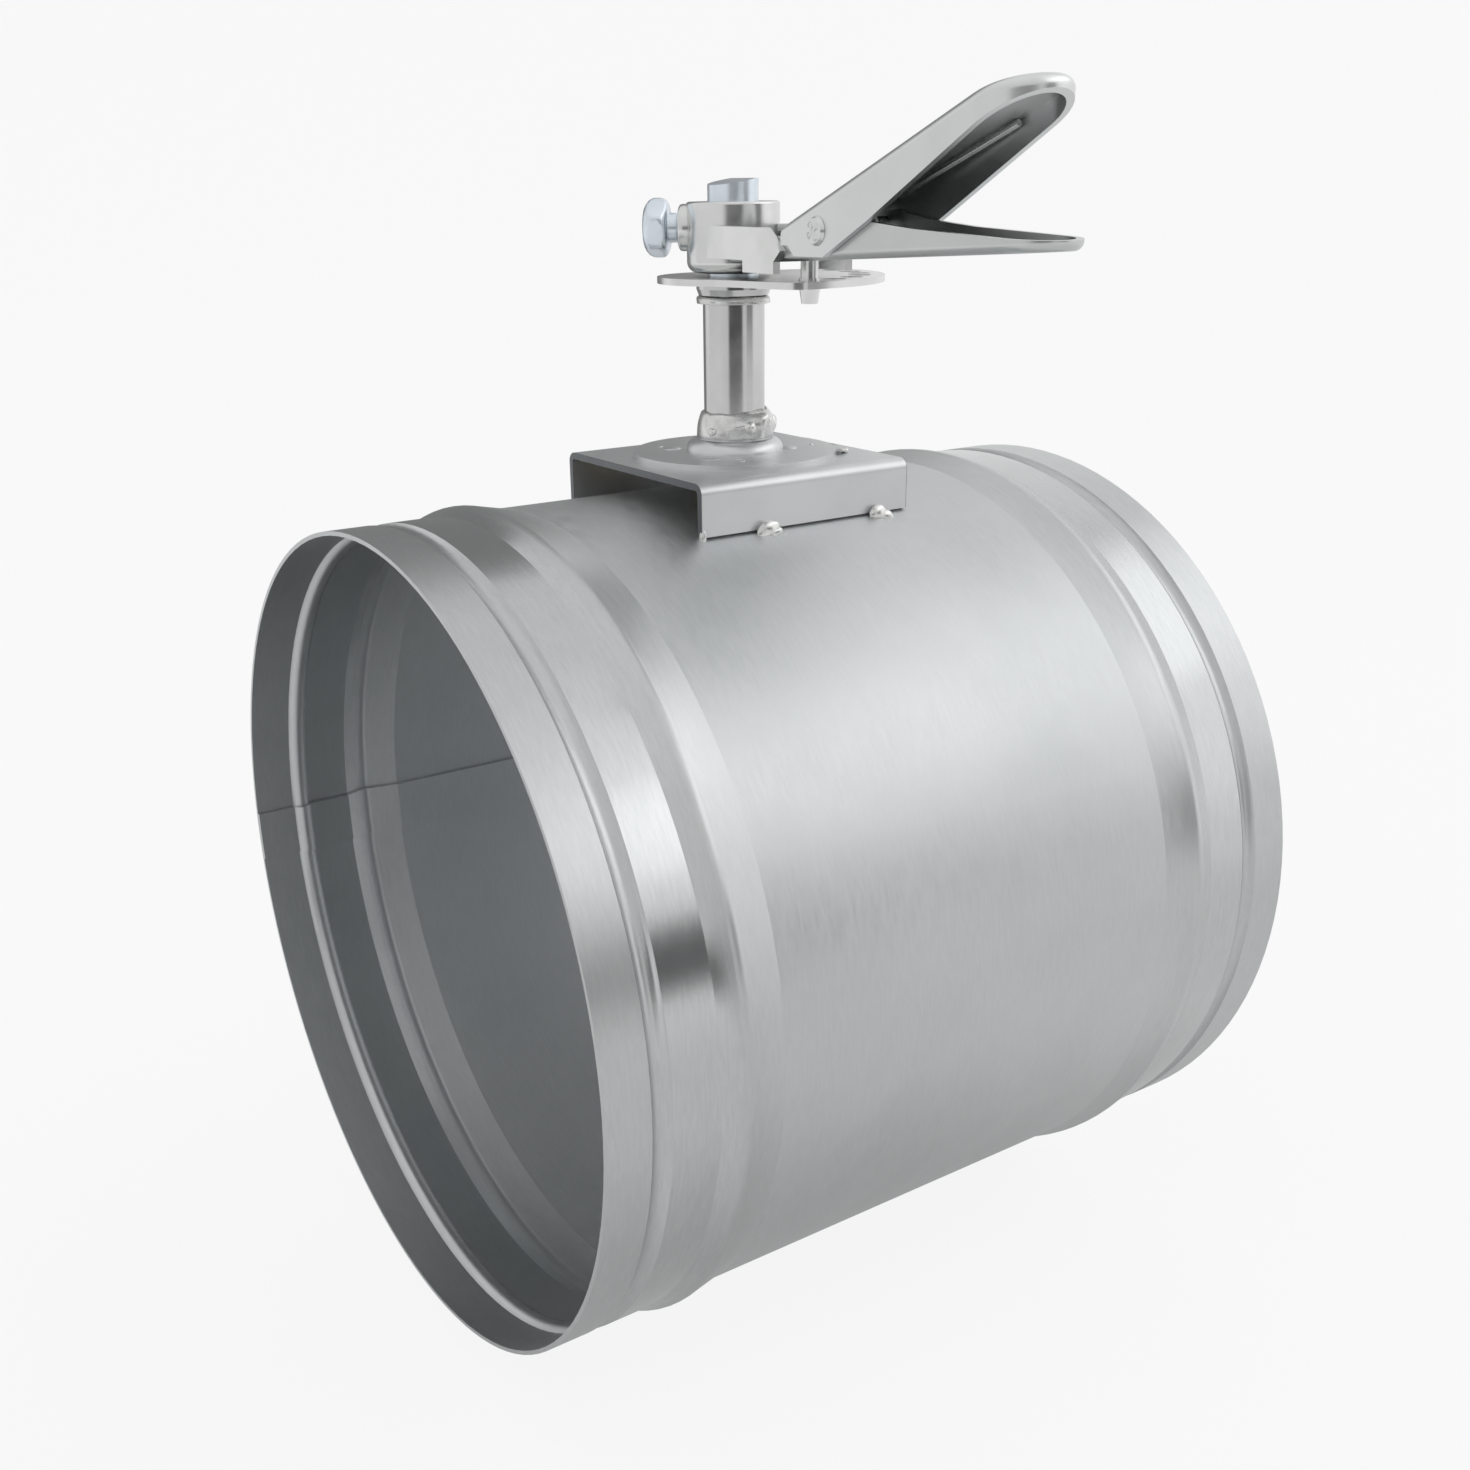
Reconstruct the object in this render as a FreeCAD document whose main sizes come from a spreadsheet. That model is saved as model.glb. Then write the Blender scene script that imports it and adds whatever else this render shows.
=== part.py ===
import FreeCAD, Part
import math
import os
import re
import Sketcher

"""
Stove pipe damper: a round duct section with a butterfly blade on a vertical spindle,
worked by a squeeze handle whose pin drops into an index plate.

Millimetres. The origin is the centre of the inlet rim, +X runs along the duct and +Z up the spindle.
The handle points towards -Y with the blade closed, and turns to +X to open it.
"""

VECTOR = FreeCAD.Vector
TO_SIDE = FreeCAD.Rotation(VECTOR(1, 1, 1), 120)

SIZES = {
    # duct sheet
    "duct_radius": 100.0,
    "duct_length": 200.0,
    "duct_wall": 1.0,
    "collar_length": 10.6,
    "groove_width": 4.9,
    "groove_depth": 1.5,
    "bead_start": 27.2,
    "bead_rise": 4.6,
    "bead_crest": 2.6,
    "bead_fall": 8.6,
    "bead_height": 1.7,
    "crest_radius": 4.0,
    "lap_above": 1.7,
    "lap_below": 6.4,
    # saddle bracket over the spindle hole
    "bracket_length": 60.0,
    "bracket_width": 60.6,
    "bracket_wall": 1.6,
    "bracket_rise": 7.8,
    "bracket_bend": 2.5,
    "tack_half_length": 4.2,
    "tack_bulge": 2.6,
    "tack_back": 11.0,
    "tack_front": 22.0,
    "spindle_clearance": 0.5,
    # flanged washer, stand-off tube and its collar
    "washer_radius": 25.0,
    "washer_wall": 1.4,
    "flange_tack_bearing": 33.0,
    "neck_radius": 9.0,
    "neck_height": 4.8,
    "neck_bend": 3.0,
    "tube_radius": 7.4,
    "tube_length": 40.6,
    "foot_weld_radius": 9.3,
    "foot_weld_height": 6.2,
    "foot_weld_shoulder": 2.4,
    "ring_radius": 8.9,
    "ring_foot_radius": 8.4,
    "ring_height": 2.8,
    "ring_weld_height": 1.9,
    "ring_weld_radius": 8.8,
    # index plate
    "plate_wall": 1.5,
    "plate_radius": 18.2,
    "fan_radius": 35.8,
    "fan_margin": 13.0,
    "fan_flare": 35.0,
    "fan_corner": 5.0,
    "swing_angle": 90.0,
    "hole_count": 7,
    "pin_reach": 30.0,
    # spindle, bushes and retaining ring
    "shaft_radius": 6.0,
    "shaft_stub": 5.0,
    "shear_drop": 1.2,
    "shaft_chamfer": 1.0,
    "shaft_tail": 12.0,
    "turning_fit": 0.06,
    "bush_radius": 8.0,
    "bush_flange": 11.0,
    "bush_flange_wall": 1.5,
    "bush_inset": 0.5,
    "bush_tail": 6.0,
    "clip_wall": 1.2,
    "clip_radius": 9.0,
    "clip_groove": 0.8,
    "clip_angle": 300.0,
    # blade and its straps
    "blade_gap": 2.3,
    "blade_wall": 1.5,
    "blade_bead_radius": 70.0,
    "blade_bead_width": 10.0,
    "blade_bead_arc": 7.0,
    "strap_reach": 22.0,
    "strap_height": 18.0,
    "strap_wall": 1.5,
    "strap_offset": 48.0,
    "strap_screw_reach": 15.0,
    "screw_radius": 2.4,
    "screw_head_radius": 4.4,
    "screw_head_height": 2.8,
    "screw_tail": 1.5,
    "nut_corner_radius": 4.6,
    "nut_height": 4.0,
    # hub
    "hub_clearance": 0.7,
    "hub_radius": 11.0,
    "hub_height": 15.7,
    "hub_foot_round": 2.5,
    "hub_top_round": 0.6,
    "ear_step": 0.8,
    "ear_top": 10.6,
    "ear_brow_reach": 27.6,
    "ear_nose_reach": 33.7,
    "ear_nose_height": 5.9,
    "ear_lobe_reach": 31.2,
    "ear_lobe_foot": 1.1,
    "ear_lobe_back": 19.5,
    "ear_web_foot": 3.6,
    "bolt_height": 10.0,
    "bolt_bearing": 138.0,
    "bolt_radius": 3.45,
    "bolt_head_corner": 7.5,
    "bolt_head_start": 15.3,
    "bolt_head_height": 5.6,
    "bolt_head_bevel": 1.1,
    "bolt_bevel_run": 1.9,
    "hub_nut_corner": 6.2,
    "hub_nut_reach": 13.2,
    # lower handle
    "handle_width": 18.0,
    "handle_wall": 1.5,
    "handle_reach": 108.5,
    "handle_bend": 1.8,
    "handle_start": 11.1,
    "web_root": 2.0,
    "web_rise": 5.4,
    "rim_tip_height": 9.3,
    "rim_mid_reach": 75.0,
    "rim_mid_height": 11.0,
    "rim_high_reach": 62.0,
    "rim_high_height": 12.1,
    "rim_back_reach": 34.5,
    "rim_back_height": 8.8,
    "pivot_reach": 46.0,
    "pivot_height": 10.2,
    "pivot_cover": 3.8,
    # upper lever
    "lever_gap": 0.1,
    "lever_wall": 1.5,
    "lever_reach": 103.0,
    "lever_bend": 2.0,
    "lever_heel_reach": 33.4,
    "lever_heel_height": 11.2,
    "lever_tip_run": 13.0,
    "lever_knee_height": 34.2,
    "lever_tip_height": 38.0,
    "lever_crown_radius": 67.0,
    "lever_skirt_foot": 5.0,
    "lever_skirt_front": 48.0,
    "lever_skirt_back": 38.1,
    "lever_notch_reach": 35.9,
    "lever_notch_height": 7.1,
    "lever_rim_low_reach": 62.6,
    "lever_rim_low_height": 12.4,
    "lever_rim_tip_height": 35.0,
    "squeeze_angle": 18.0,
    "tongue_width": 10.0,
    "tongue_back": 24.6,
    "tongue_overlap": 1.0,
    # rivet, spring and pin
    "rivet_radius": 2.5,
    "rivet_fit": 0.06,
    "rivet_head_radius": 3.0,
    "rivet_head_height": 0.8,
    "wire_radius": 0.7,
    "coil_clearance": 0.1,
    "coil_start": -4.4,
    "coil_length": 8.8,
    "coil_turns": 5.0,
    "upper_leg_length": 44.0,
    "lower_leg_length": 20.0,
    "pin_radius": 2.45,
    "pin_neck_radius": 2.05,
    "pin_tip_radius": 1.85,
    "pin_tip_drop": 3.4,
    "pin_taper": 3.9,
    "pin_body": 1.5,
    "pin_head_radius": 3.1,
    "pin_head_height": 1.2,
    "pin_clearance": 0.2,
    # clearance between pieces that lie against each other
    "seat_gap": 0.05,
}

# Levels and places that several pieces share, as expressions of the sizes
MIDDLE = "duct_length / 2"
BRACKET_TOP = "(duct_radius + bracket_rise)"
PLATE_FOOT = "(duct_radius + bracket_rise + tube_length)"
HUB_FOOT = "(duct_radius + bracket_rise + tube_length + plate_wall + hub_clearance)"
BORE = "(shaft_radius + turning_fit)"
FLANGE_FOOT = "(sqrt(duct_radius ^ 2 - (bracket_width / 2 - bracket_wall) ^ 2) + seat_gap)"
BLADE_FACE = "(shaft_radius + seat_gap)"
BLADE_RIM = "(duct_radius - duct_wall - bush_inset - blade_gap)"
TONGUE_DROP = "(lever_heel_height - pivot_height)"
LEVER_KNEE = "(lever_reach - lever_tip_run)"
LEVER_SLOPE = "((lever_knee_height - lever_heel_height) / (%s - lever_heel_reach))" % LEVER_KNEE


def bound(text):
    """Put the sheet's name in front of each size in an expression."""
    return re.sub(r"[a-z]+(?:_[a-z]+)+", lambda found: "Sizes." + found.group(), text)


def read(text):
    """Work out an expression of sizes as a number."""
    return float(probe.evalExpression(bound(text)))


def bind(item, name, text):
    """Tie a property of an object to an expression of sizes."""
    item.setExpression(name, bound(text))


def place(item, across="0", along="0", height="0"):
    """Move a piece to its own place in the shared frame."""
    for name, text in (("x", across), ("y", along), ("z", height)):
        bind(item, "Placement.Base." + name, text)


def draw(sketch, outline, arcs=None):
    """Draw one closed outline whose corners and arc radii are expressions.

    An arc replaces the line that leaves its corner: (radius, side), and side is +1 where it
    bulges to the right of the way the outline runs, -1 to the left.
    """
    arcs = arcs or {}
    corners = [VECTOR(read(across), read(up), 0) for across, up in outline]
    first = sketch.GeometryCount
    count = len(corners)
    ends = []
    for number, start in enumerate(corners):
        end = corners[(number + 1) % count]
        if number in arcs:
            radius = read(arcs[number][0])
            chord = end - start
            normal = VECTOR(-chord.y, chord.x, 0).normalize() * arcs[number][1]
            rise = max(radius**2 - chord.Length**2 / 4, 0) ** 0.5
            middle = (start + end) / 2 + normal * (rise - radius)
            sketch.addGeometry(Part.Arc(start, middle, end), False)
        else:
            sketch.addGeometry(Part.LineSegment(start, end), False)
        forward = (sketch.getPoint(first + number, 1) - start).Length < 1e-6
        ends.append((1, 2) if forward else (2, 1))
    for number, (across, up) in enumerate(outline):
        after = (number + 1) % count
        joint = (first + number, ends[number][1], first + after, ends[after][0])
        sketch.addConstraint(Sketcher.Constraint("Coincident", *joint))
        for kind, text in (("DistanceX", across), ("DistanceY", up)):
            held = Sketcher.Constraint(kind, -1, 1, first + number, ends[number][0], read(text))
            tie(sketch, held, text)
    for number, (radius, _) in arcs.items():
        tie(sketch, Sketcher.Constraint("Radius", first + number, read(radius)), radius)
    return sketch


def draw_circles(sketch, circles):
    """Draw circles given as (across, up, radius) expressions."""
    for across, up, radius in circles:
        centre = VECTOR(read(across), read(up), 0)
        round_edge = Part.Circle(centre, VECTOR(0, 0, 1), read(radius))
        number = sketch.addGeometry(round_edge, False)
        tie(sketch, Sketcher.Constraint("DistanceX", -1, 1, number, 3, read(across)), across)
        tie(sketch, Sketcher.Constraint("DistanceY", -1, 1, number, 3, read(up)), up)
        tie(sketch, Sketcher.Constraint("Radius", number, read(radius)), radius)
    return sketch


def tie(sketch, constraint, text):
    """Add a constraint and bind its value."""
    number = sketch.addConstraint(constraint)
    sketch.setExpression("Constraints[%d]" % number, bound(text))


def new_body(name):
    """Start the body of one piece, named as the piece is."""
    body = doc.addObject("PartDesign::Body", name)
    body.Label = name
    pieces.append(body)
    return body


def new_sketch(body, plane):
    """Start a sketch on one of the body's own origin planes."""
    sketch = body.newObject("Sketcher::SketchObject", body.Name + "_sketch")
    support = next(item for item in body.Origin.OriginFeatures if item.Role == plane)
    sketch.AttachmentSupport = (support, "")
    sketch.MapMode = "FlatFace"
    return sketch


def pad(body, sketch, length, middle=False):
    """Thicken a sketch, from its plane or to both sides of it."""
    feature = body.newObject("PartDesign::Pad", body.Name + "_pad")
    feature.Profile = sketch
    bind(feature, "Length", length)
    feature.Midplane = middle
    doc.recompute()
    return feature


def cut(body, kind, sketch, length="", middle=False, reverse=False):
    """Take material away and make sure that some went."""
    before = body.Shape.Volume
    feature = body.newObject("PartDesign::" + kind, body.Name + "_cut")
    feature.Profile = sketch
    feature.Reversed = reverse
    if kind == "Pocket":
        bind(feature, "Length", length)
        feature.Midplane = middle
    doc.recompute()
    if body.Shape.Volume > before - 0.01:
        raise RuntimeError(body.Label + ": a cut took nothing away")
    return feature


def turn(body, sketch, axis="V_Axis"):
    """Turn a sketch about one of its own axes."""
    feature = body.newObject("PartDesign::Revolution", body.Name + "_turn")
    feature.Profile = sketch
    feature.ReferenceAxis = (sketch, [axis])
    feature.Angle = 360
    doc.recompute()
    return feature


def round_edges(body, radius, wanted):
    """Round those edges of a body that a test of (edge, shape) picks."""
    before = body.Tip
    edges = enumerate(before.Shape.Edges, 1)
    names = ["Edge%d" % number for number, edge in edges if wanted(edge, before.Shape)]
    if not names:
        raise RuntimeError(body.Label + ": no edge to round")
    feature = body.newObject("PartDesign::Fillet", body.Name + "_round")
    feature.Base = (before, names)
    bind(feature, "Radius", radius)
    doc.recompute()
    return feature


def turned_piece(name, outline, arcs=None):
    """Make a piece turned about the spindle from its half section (radius, height)."""
    body = new_body(name)
    turn(body, draw(new_sketch(body, "XZ_Plane"), outline, arcs))
    return body


def primitive(kind, name, sizes):
    """Make a simple solid with bound sizes."""
    item = doc.addObject("Part::" + kind, name)
    for key, text in sizes.items():
        bind(item, key, text)
    return item


def combined(kind, name, base, tool):
    """Join two solids by a boolean."""
    item = doc.addObject("Part::" + kind, name)
    item.Base = base
    item.Tool = tool
    return item


def prism(name, outline, arcs, length, side_view):
    """Extrude an outline to both sides of the side view's or the plan's plane."""
    sketch = doc.addObject("Sketcher::SketchObject", name + "_outline")
    if side_view:
        sketch.Placement = FreeCAD.Placement(VECTOR(0, 0, 0), TO_SIDE)
    draw(sketch, outline, arcs)
    item = doc.addObject("Part::Extrusion", name)
    item.Base = sketch
    item.DirMode = "Normal"
    item.Solid = True
    item.Symmetric = True
    bind(item, "LengthFwd", length)
    return item


def finished(item, name):
    """Name a piece made of primitives and booleans."""
    item.Label = name
    pieces.append(item)
    return item


# Duct shell

def shell_chain(lift):
    """Outline of the sheet along the duct, from the inlet rim to the outlet rim, at one lift."""
    level = "duct_radius + " + lift
    crest = level + " + bead_height"
    half = [
        ("0", level),
        ("collar_length", level),
        ("collar_length + groove_width", level),
        ("bead_start", level),
        ("bead_start + bead_rise", crest),
        ("bead_start + bead_rise + bead_crest", crest),
        ("bead_start + bead_rise + bead_crest + bead_fall", level),
    ]
    return half + [("duct_length - (%s)" % along, up) for along, up in reversed(half)]


GROOVE_ARC = "((groove_width / 2) ^ 2 + groove_depth ^ 2) / (2 * groove_depth)"


def shell_section(body, upper, lower):
    """Section of the formed sheet between two lifts, with its grooves and beads."""
    top = shell_chain(upper)
    outline = top + shell_chain(lower)[::-1]
    arcs = {1: (GROOVE_ARC, 1), 4: ("crest_radius", -1), 8: ("crest_radius", -1), 11: (GROOVE_ARC, 1)}
    for number, (radius, side) in list(arcs.items()):
        arcs[2 * len(top) - 2 - number] = (radius, -side)
    return draw(new_sketch(body, "XY_Plane"), outline, arcs)


def make_duct_shell():
    """Rolled sheet with its lapped seam inside on the +Y wall, pierced top and bottom."""
    body = new_body("duct_shell")
    turn(body, shell_section(body, "0", "0 - duct_wall"), "H_Axis")
    seam = turn(body, shell_section(body, "0 - duct_wall / 2", "0 - 2 * duct_wall"), "H_Axis")
    seam.Type = "TwoAngles"
    bind(seam, "Angle", "lap_above")
    bind(seam, "Angle2", "lap_below")
    hole = [(MIDDLE, "0", "bush_radius + seat_gap")]
    cut(body, "Pocket", draw_circles(new_sketch(body, "XY_Plane"), hole), "4 * duct_radius", True)


# Saddle bracket, its tacks, and what stands on it

def make_saddle_bracket():
    """Folded bridge: a flat top with two flanges down to the duct, open at both ends."""
    body = new_body("saddle_bracket")
    half = "bracket_width / 2"
    inner = "(bracket_width / 2 - bracket_wall)"
    shoulder = BRACKET_TOP + " - bracket_bend"
    ceiling = BRACKET_TOP + " - bracket_wall"
    outline = [
        ("0 - " + half, FLANGE_FOOT),
        ("0 - " + half, shoulder),
        ("0 - " + half + " + bracket_bend", BRACKET_TOP),
        (half + " - bracket_bend", BRACKET_TOP),
        (half, shoulder),
        (half, FLANGE_FOOT),
        (inner, FLANGE_FOOT),
        (inner, shoulder),
        (half + " - bracket_bend", ceiling),
        ("0 - " + half + " + bracket_bend", ceiling),
        ("0 - " + inner, shoulder),
        ("0 - " + inner, FLANGE_FOOT),
    ]
    bend = ("bracket_bend", -1)
    inside = ("bracket_bend - bracket_wall", 1)
    pad(body, draw(new_sketch(body, "YZ_Plane"), outline, {1: bend, 3: bend, 7: inside, 9: inside}),
        "bracket_length", True)
    hole = [("0", "0", "shaft_radius + spindle_clearance")]
    cut(body, "Pocket", draw_circles(new_sketch(body, "XY_Plane"), hole), "4 * duct_radius", True)
    place(body, MIDDLE)


def make_bracket_tack(number, along, side):
    """Weld tack at the foot of a flange, trimmed to the duct and the flange."""
    name = "bracket_tack_%d" % number
    flange = "(bracket_width / 2 + seat_gap)"
    blob = primitive("Ellipsoid", name + "_blob", {
        "Radius1": "tack_bulge", "Radius2": "tack_half_length", "Radius3": "tack_bulge"})
    foot = "sqrt(duct_radius ^ 2 - (bracket_width / 2) ^ 2) + seat_gap"
    place(blob, along, side + " * " + flange, foot)
    duct = primitive("Cylinder", name + "_duct", {
        "Radius": "duct_radius + seat_gap / 2", "Height": "duct_length"})
    duct.Placement = FreeCAD.Placement(VECTOR(0, 0, 0), FreeCAD.Rotation(VECTOR(0, 1, 0), 90))
    flange_box = primitive("Box", name + "_flange", {
        "Length": "duct_length", "Width": "2 * " + flange, "Height": "2 * duct_radius"})
    place(flange_box, "0", "0 - " + flange, "0")
    trimmed = combined("Cut", name + "_trim", blob, duct)
    finished(combined("Cut", name, trimmed, flange_box), name)


def make_flange_washer():
    """Round plate with a neck drawn up round the tube."""
    bore = "tube_radius + seat_gap"
    body = turned_piece("flange_washer", [
        (bore, "0"),
        ("washer_radius", "0"),
        ("washer_radius", "washer_wall"),
        ("neck_radius + neck_bend", "washer_wall"),
        ("neck_radius", "washer_wall + neck_bend"),
        ("neck_radius", "neck_height"),
        (bore, "neck_height"),
    ], {3: ("neck_bend", 1)})
    place(body, MIDDLE, "0", BRACKET_TOP)


def make_flange_tack():
    """Weld tack at the plate's edge, trimmed to the plate and the bracket."""
    name = "flange_tack"
    edge = "(washer_radius + seat_gap)"
    blob = primitive("Ellipsoid", name + "_blob", {
        "Radius1": "washer_wall", "Radius2": "tack_bulge", "Radius3": "tack_bulge"})
    bearing = "(flange_tack_bearing * 1deg)"
    across = MIDDLE + " + %s * cos(%s)" % (edge, bearing)
    place(blob, across, "0 - %s * sin(%s)" % (edge, bearing), BRACKET_TOP)
    plate = primitive("Cylinder", name + "_plate", {"Radius": edge, "Height": "4 * washer_wall"})
    place(plate, MIDDLE, "0", BRACKET_TOP)
    below = primitive("Box", name + "_below", {
        "Length": "duct_length", "Width": "bracket_width", "Height": "bracket_rise"})
    place(below, "0", "0 - bracket_width / 2", "duct_radius")
    trimmed = combined("Cut", name + "_trim", blob, plate)
    finished(combined("Cut", name, trimmed, below), name)


def make_standoff_tube():
    """Plain tube from the bracket up to the index plate."""
    body = new_body("standoff_tube")
    rings = [("0", "0", "tube_radius"), ("0", "0", BORE)]
    pad(body, draw_circles(new_sketch(body, "XY_Plane"), rings), "tube_length")
    place(body, MIDDLE, "0", BRACKET_TOP)


def make_tube_fittings():
    """Foot weld, top collar and its weld ring, all round the tube."""
    bore = "tube_radius + seat_gap"
    foot = turned_piece("tube_foot_weld", [
        (bore, "0"),
        ("foot_weld_radius", "0"),
        ("foot_weld_radius", "foot_weld_shoulder"),
        (bore, "foot_weld_height"),
    ], {2: ("foot_weld_height", 1)})
    place(foot, MIDDLE, "0", BRACKET_TOP + " + neck_height + seat_gap")
    ring = turned_piece("tube_collar", [
        (bore, "0"),
        ("ring_foot_radius", "0"),
        ("ring_radius", "ring_height / 2"),
        ("ring_radius", "ring_height - seat_gap"),
        (bore, "ring_height - seat_gap"),
    ])
    place(ring, MIDDLE, "0", PLATE_FOOT + " - ring_height")
    weld = turned_piece("collar_weld", [
        (bore, "0"),
        ("ring_weld_radius", "ring_weld_height / 2"),
        ("ring_foot_radius", "ring_weld_height - seat_gap"),
        (bore, "ring_weld_height - seat_gap"),
    ])
    place(weld, MIDDLE, "0", PLATE_FOOT + " - ring_height - ring_weld_height")


def fan_point(radius, angle):
    """Point of the index plate at a radius and an angle in degrees from +X."""
    return ("%s * cos((%s) * 1deg)" % (radius, angle), "%s * sin((%s) * 1deg)" % (radius, angle))


def at_fan_corner(edge, shape):
    """Test for the upright edges at the outer corners of the fan."""
    start, end = (edge.valueAt(place) for place in (edge.FirstParameter, edge.LastParameter))
    upright = math.hypot(start.x - end.x, start.y - end.y) < read("seat_gap")
    return upright and math.hypot(start.x, start.y) > read("fan_radius - seat_gap")


def make_index_plate():
    """Fan plate with a row of index holes over the blade's quarter turn."""
    body = new_body("index_plate")
    first = "0 - swing_angle - fan_margin"
    outline = [
        fan_point("fan_radius", first),
        fan_point("fan_radius", "fan_margin"),
        fan_point("plate_radius", "fan_margin + fan_flare"),
        fan_point("plate_radius", first + " - fan_flare"),
    ]
    arcs = {0: ("fan_radius", 1), 2: ("plate_radius", 1)}
    pad(body, draw(new_sketch(body, "XY_Plane"), outline, arcs), "plate_wall")
    round_edges(body, "fan_corner", at_fan_corner)
    centre = [("0", "0", BORE)]
    cut(body, "Pocket", draw_circles(new_sketch(body, "XY_Plane"), centre), "4 * plate_wall", True)
    before = body.Shape.Volume
    index = [("0", "0 - pin_reach", "pin_radius + pin_clearance")]
    hole = cut(body, "Pocket", draw_circles(new_sketch(body, "XY_Plane"), index), "4 * plate_wall", True)
    one_hole = before - body.Shape.Volume
    row = body.newObject("PartDesign::PolarPattern", "index_row")
    row.Originals = [hole]
    row.Axis = (hole.Profile[0], ["N_Axis"])
    bind(row, "Angle", "swing_angle")
    bind(row, "Occurrences", "hole_count")
    body.Tip = row
    doc.recompute()
    if body.Shape.Volume > before - 1.5 * one_hole:
        raise RuntimeError("index_plate: the row of holes is missing")
    place(body, MIDDLE, "0", PLATE_FOOT)


# Spindle, bushes and ring

def make_shaft():
    """Spindle from under the duct to above the hub, sheared at the top, grooved for its ring."""
    foot = "(0 - duct_radius - shaft_tail)"
    top = HUB_FOOT + " + hub_height + shaft_stub"
    groove = "(0 - duct_radius - bush_tail)"
    floor = "shaft_radius - clip_groove"
    body = turned_piece("shaft", [
        ("0", foot),
        ("shaft_radius - shaft_chamfer", foot),
        ("shaft_radius", foot + " + shaft_chamfer"),
        ("shaft_radius", groove + " - clip_wall - 2 * seat_gap"),
        (floor, groove + " - clip_wall - 2 * seat_gap"),
        (floor, groove),
        ("shaft_radius", groove),
        ("shaft_radius", top),
        ("0", top),
    ])
    shear = [
        ("0 - 2 * shaft_radius", top + " - 2 * shear_drop"),
        ("shaft_radius / 2", top),
        ("shaft_radius / 2", top + " + shear_drop"),
        ("0 - 2 * shaft_radius", top + " + shear_drop"),
    ]
    cut(body, "Pocket", draw(new_sketch(body, "XZ_Plane"), shear), "4 * shaft_radius", True)
    place(body, MIDDLE)


def make_bushes():
    """Flanged sleeves in the duct's top and bottom walls."""
    inner = "(duct_radius - duct_wall - bush_inset)"
    seat = "(duct_radius + seat_gap)"
    upper = turned_piece("upper_bush", [
        (BORE, inner),
        ("bush_radius", inner),
        ("bush_radius", seat),
        ("bush_flange", seat),
        ("bush_flange", seat + " + bush_flange_wall"),
        ("bush_radius", seat + " + bush_flange_wall"),
        ("bush_radius", BRACKET_TOP + " - bracket_wall - seat_gap"),
        (BORE, BRACKET_TOP + " - bracket_wall - seat_gap"),
    ])
    place(upper, MIDDLE)
    lower = turned_piece("lower_bush", [
        (BORE, "0 - duct_radius - bush_tail + seat_gap"),
        ("bush_radius", "0 - duct_radius - bush_tail + seat_gap"),
        ("bush_radius", "0 - %s - bush_flange_wall" % seat),
        ("bush_flange", "0 - %s - bush_flange_wall" % seat),
        ("bush_flange", "0 - " + seat),
        ("bush_radius", "0 - " + seat),
        ("bush_radius", "0 - " + inner),
        (BORE, "0 - " + inner),
    ])
    place(lower, MIDDLE)


def make_retaining_ring():
    """Open ring in the groove at the spindle's lower end."""
    body = new_body("retaining_ring")
    bore = "shaft_radius - clip_groove + seat_gap"
    section = draw(new_sketch(body, "XZ_Plane"), [
        (bore, "0"), ("clip_radius", "0"), ("clip_radius", "clip_wall"), (bore, "clip_wall")])
    ring = turn(body, section)
    bind(ring, "Angle", "clip_angle")
    place(body, MIDDLE, "0", "0 - duct_radius - bush_tail - clip_wall - seat_gap")


# Blade and the straps that hold it

def screw_places():
    """Heights and sides of the four blade screws."""
    return [(lift, side) for lift in ("1", "0 - 1") for side in ("0 - 1", "1")]


def screw_circles(radius, lifts=("1", "0 - 1")):
    """Circles for the blade screws in the side view."""
    return [("(%s) * strap_screw_reach" % side, "(%s) * strap_offset" % lift, radius)
            for lift, side in screw_places() if lift in lifts]


def make_damper_blade():
    """Round sheet with one pressed ring bead, flat against the spindle."""
    body = new_body("damper_blade")
    inner = "blade_bead_radius"
    outer = "blade_bead_radius + blade_bead_width"
    outline = [
        ("0", "0"),
        ("0", inner),
        ("0", outer),
        ("0", BLADE_RIM),
        ("blade_wall", BLADE_RIM),
        ("blade_wall", outer),
        ("blade_wall", inner),
        ("blade_wall", "0"),
    ]
    arcs = {1: ("blade_bead_arc", 1), 5: ("blade_bead_arc", -1)}
    turn(body, draw(new_sketch(body, "XY_Plane"), outline, arcs), "H_Axis")
    holes = screw_circles("screw_radius + seat_gap")
    cut(body, "Pocket", draw_circles(new_sketch(body, "YZ_Plane"), holes), "20 * blade_wall", True)
    place(body, MIDDLE + " + " + BLADE_FACE)


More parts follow.
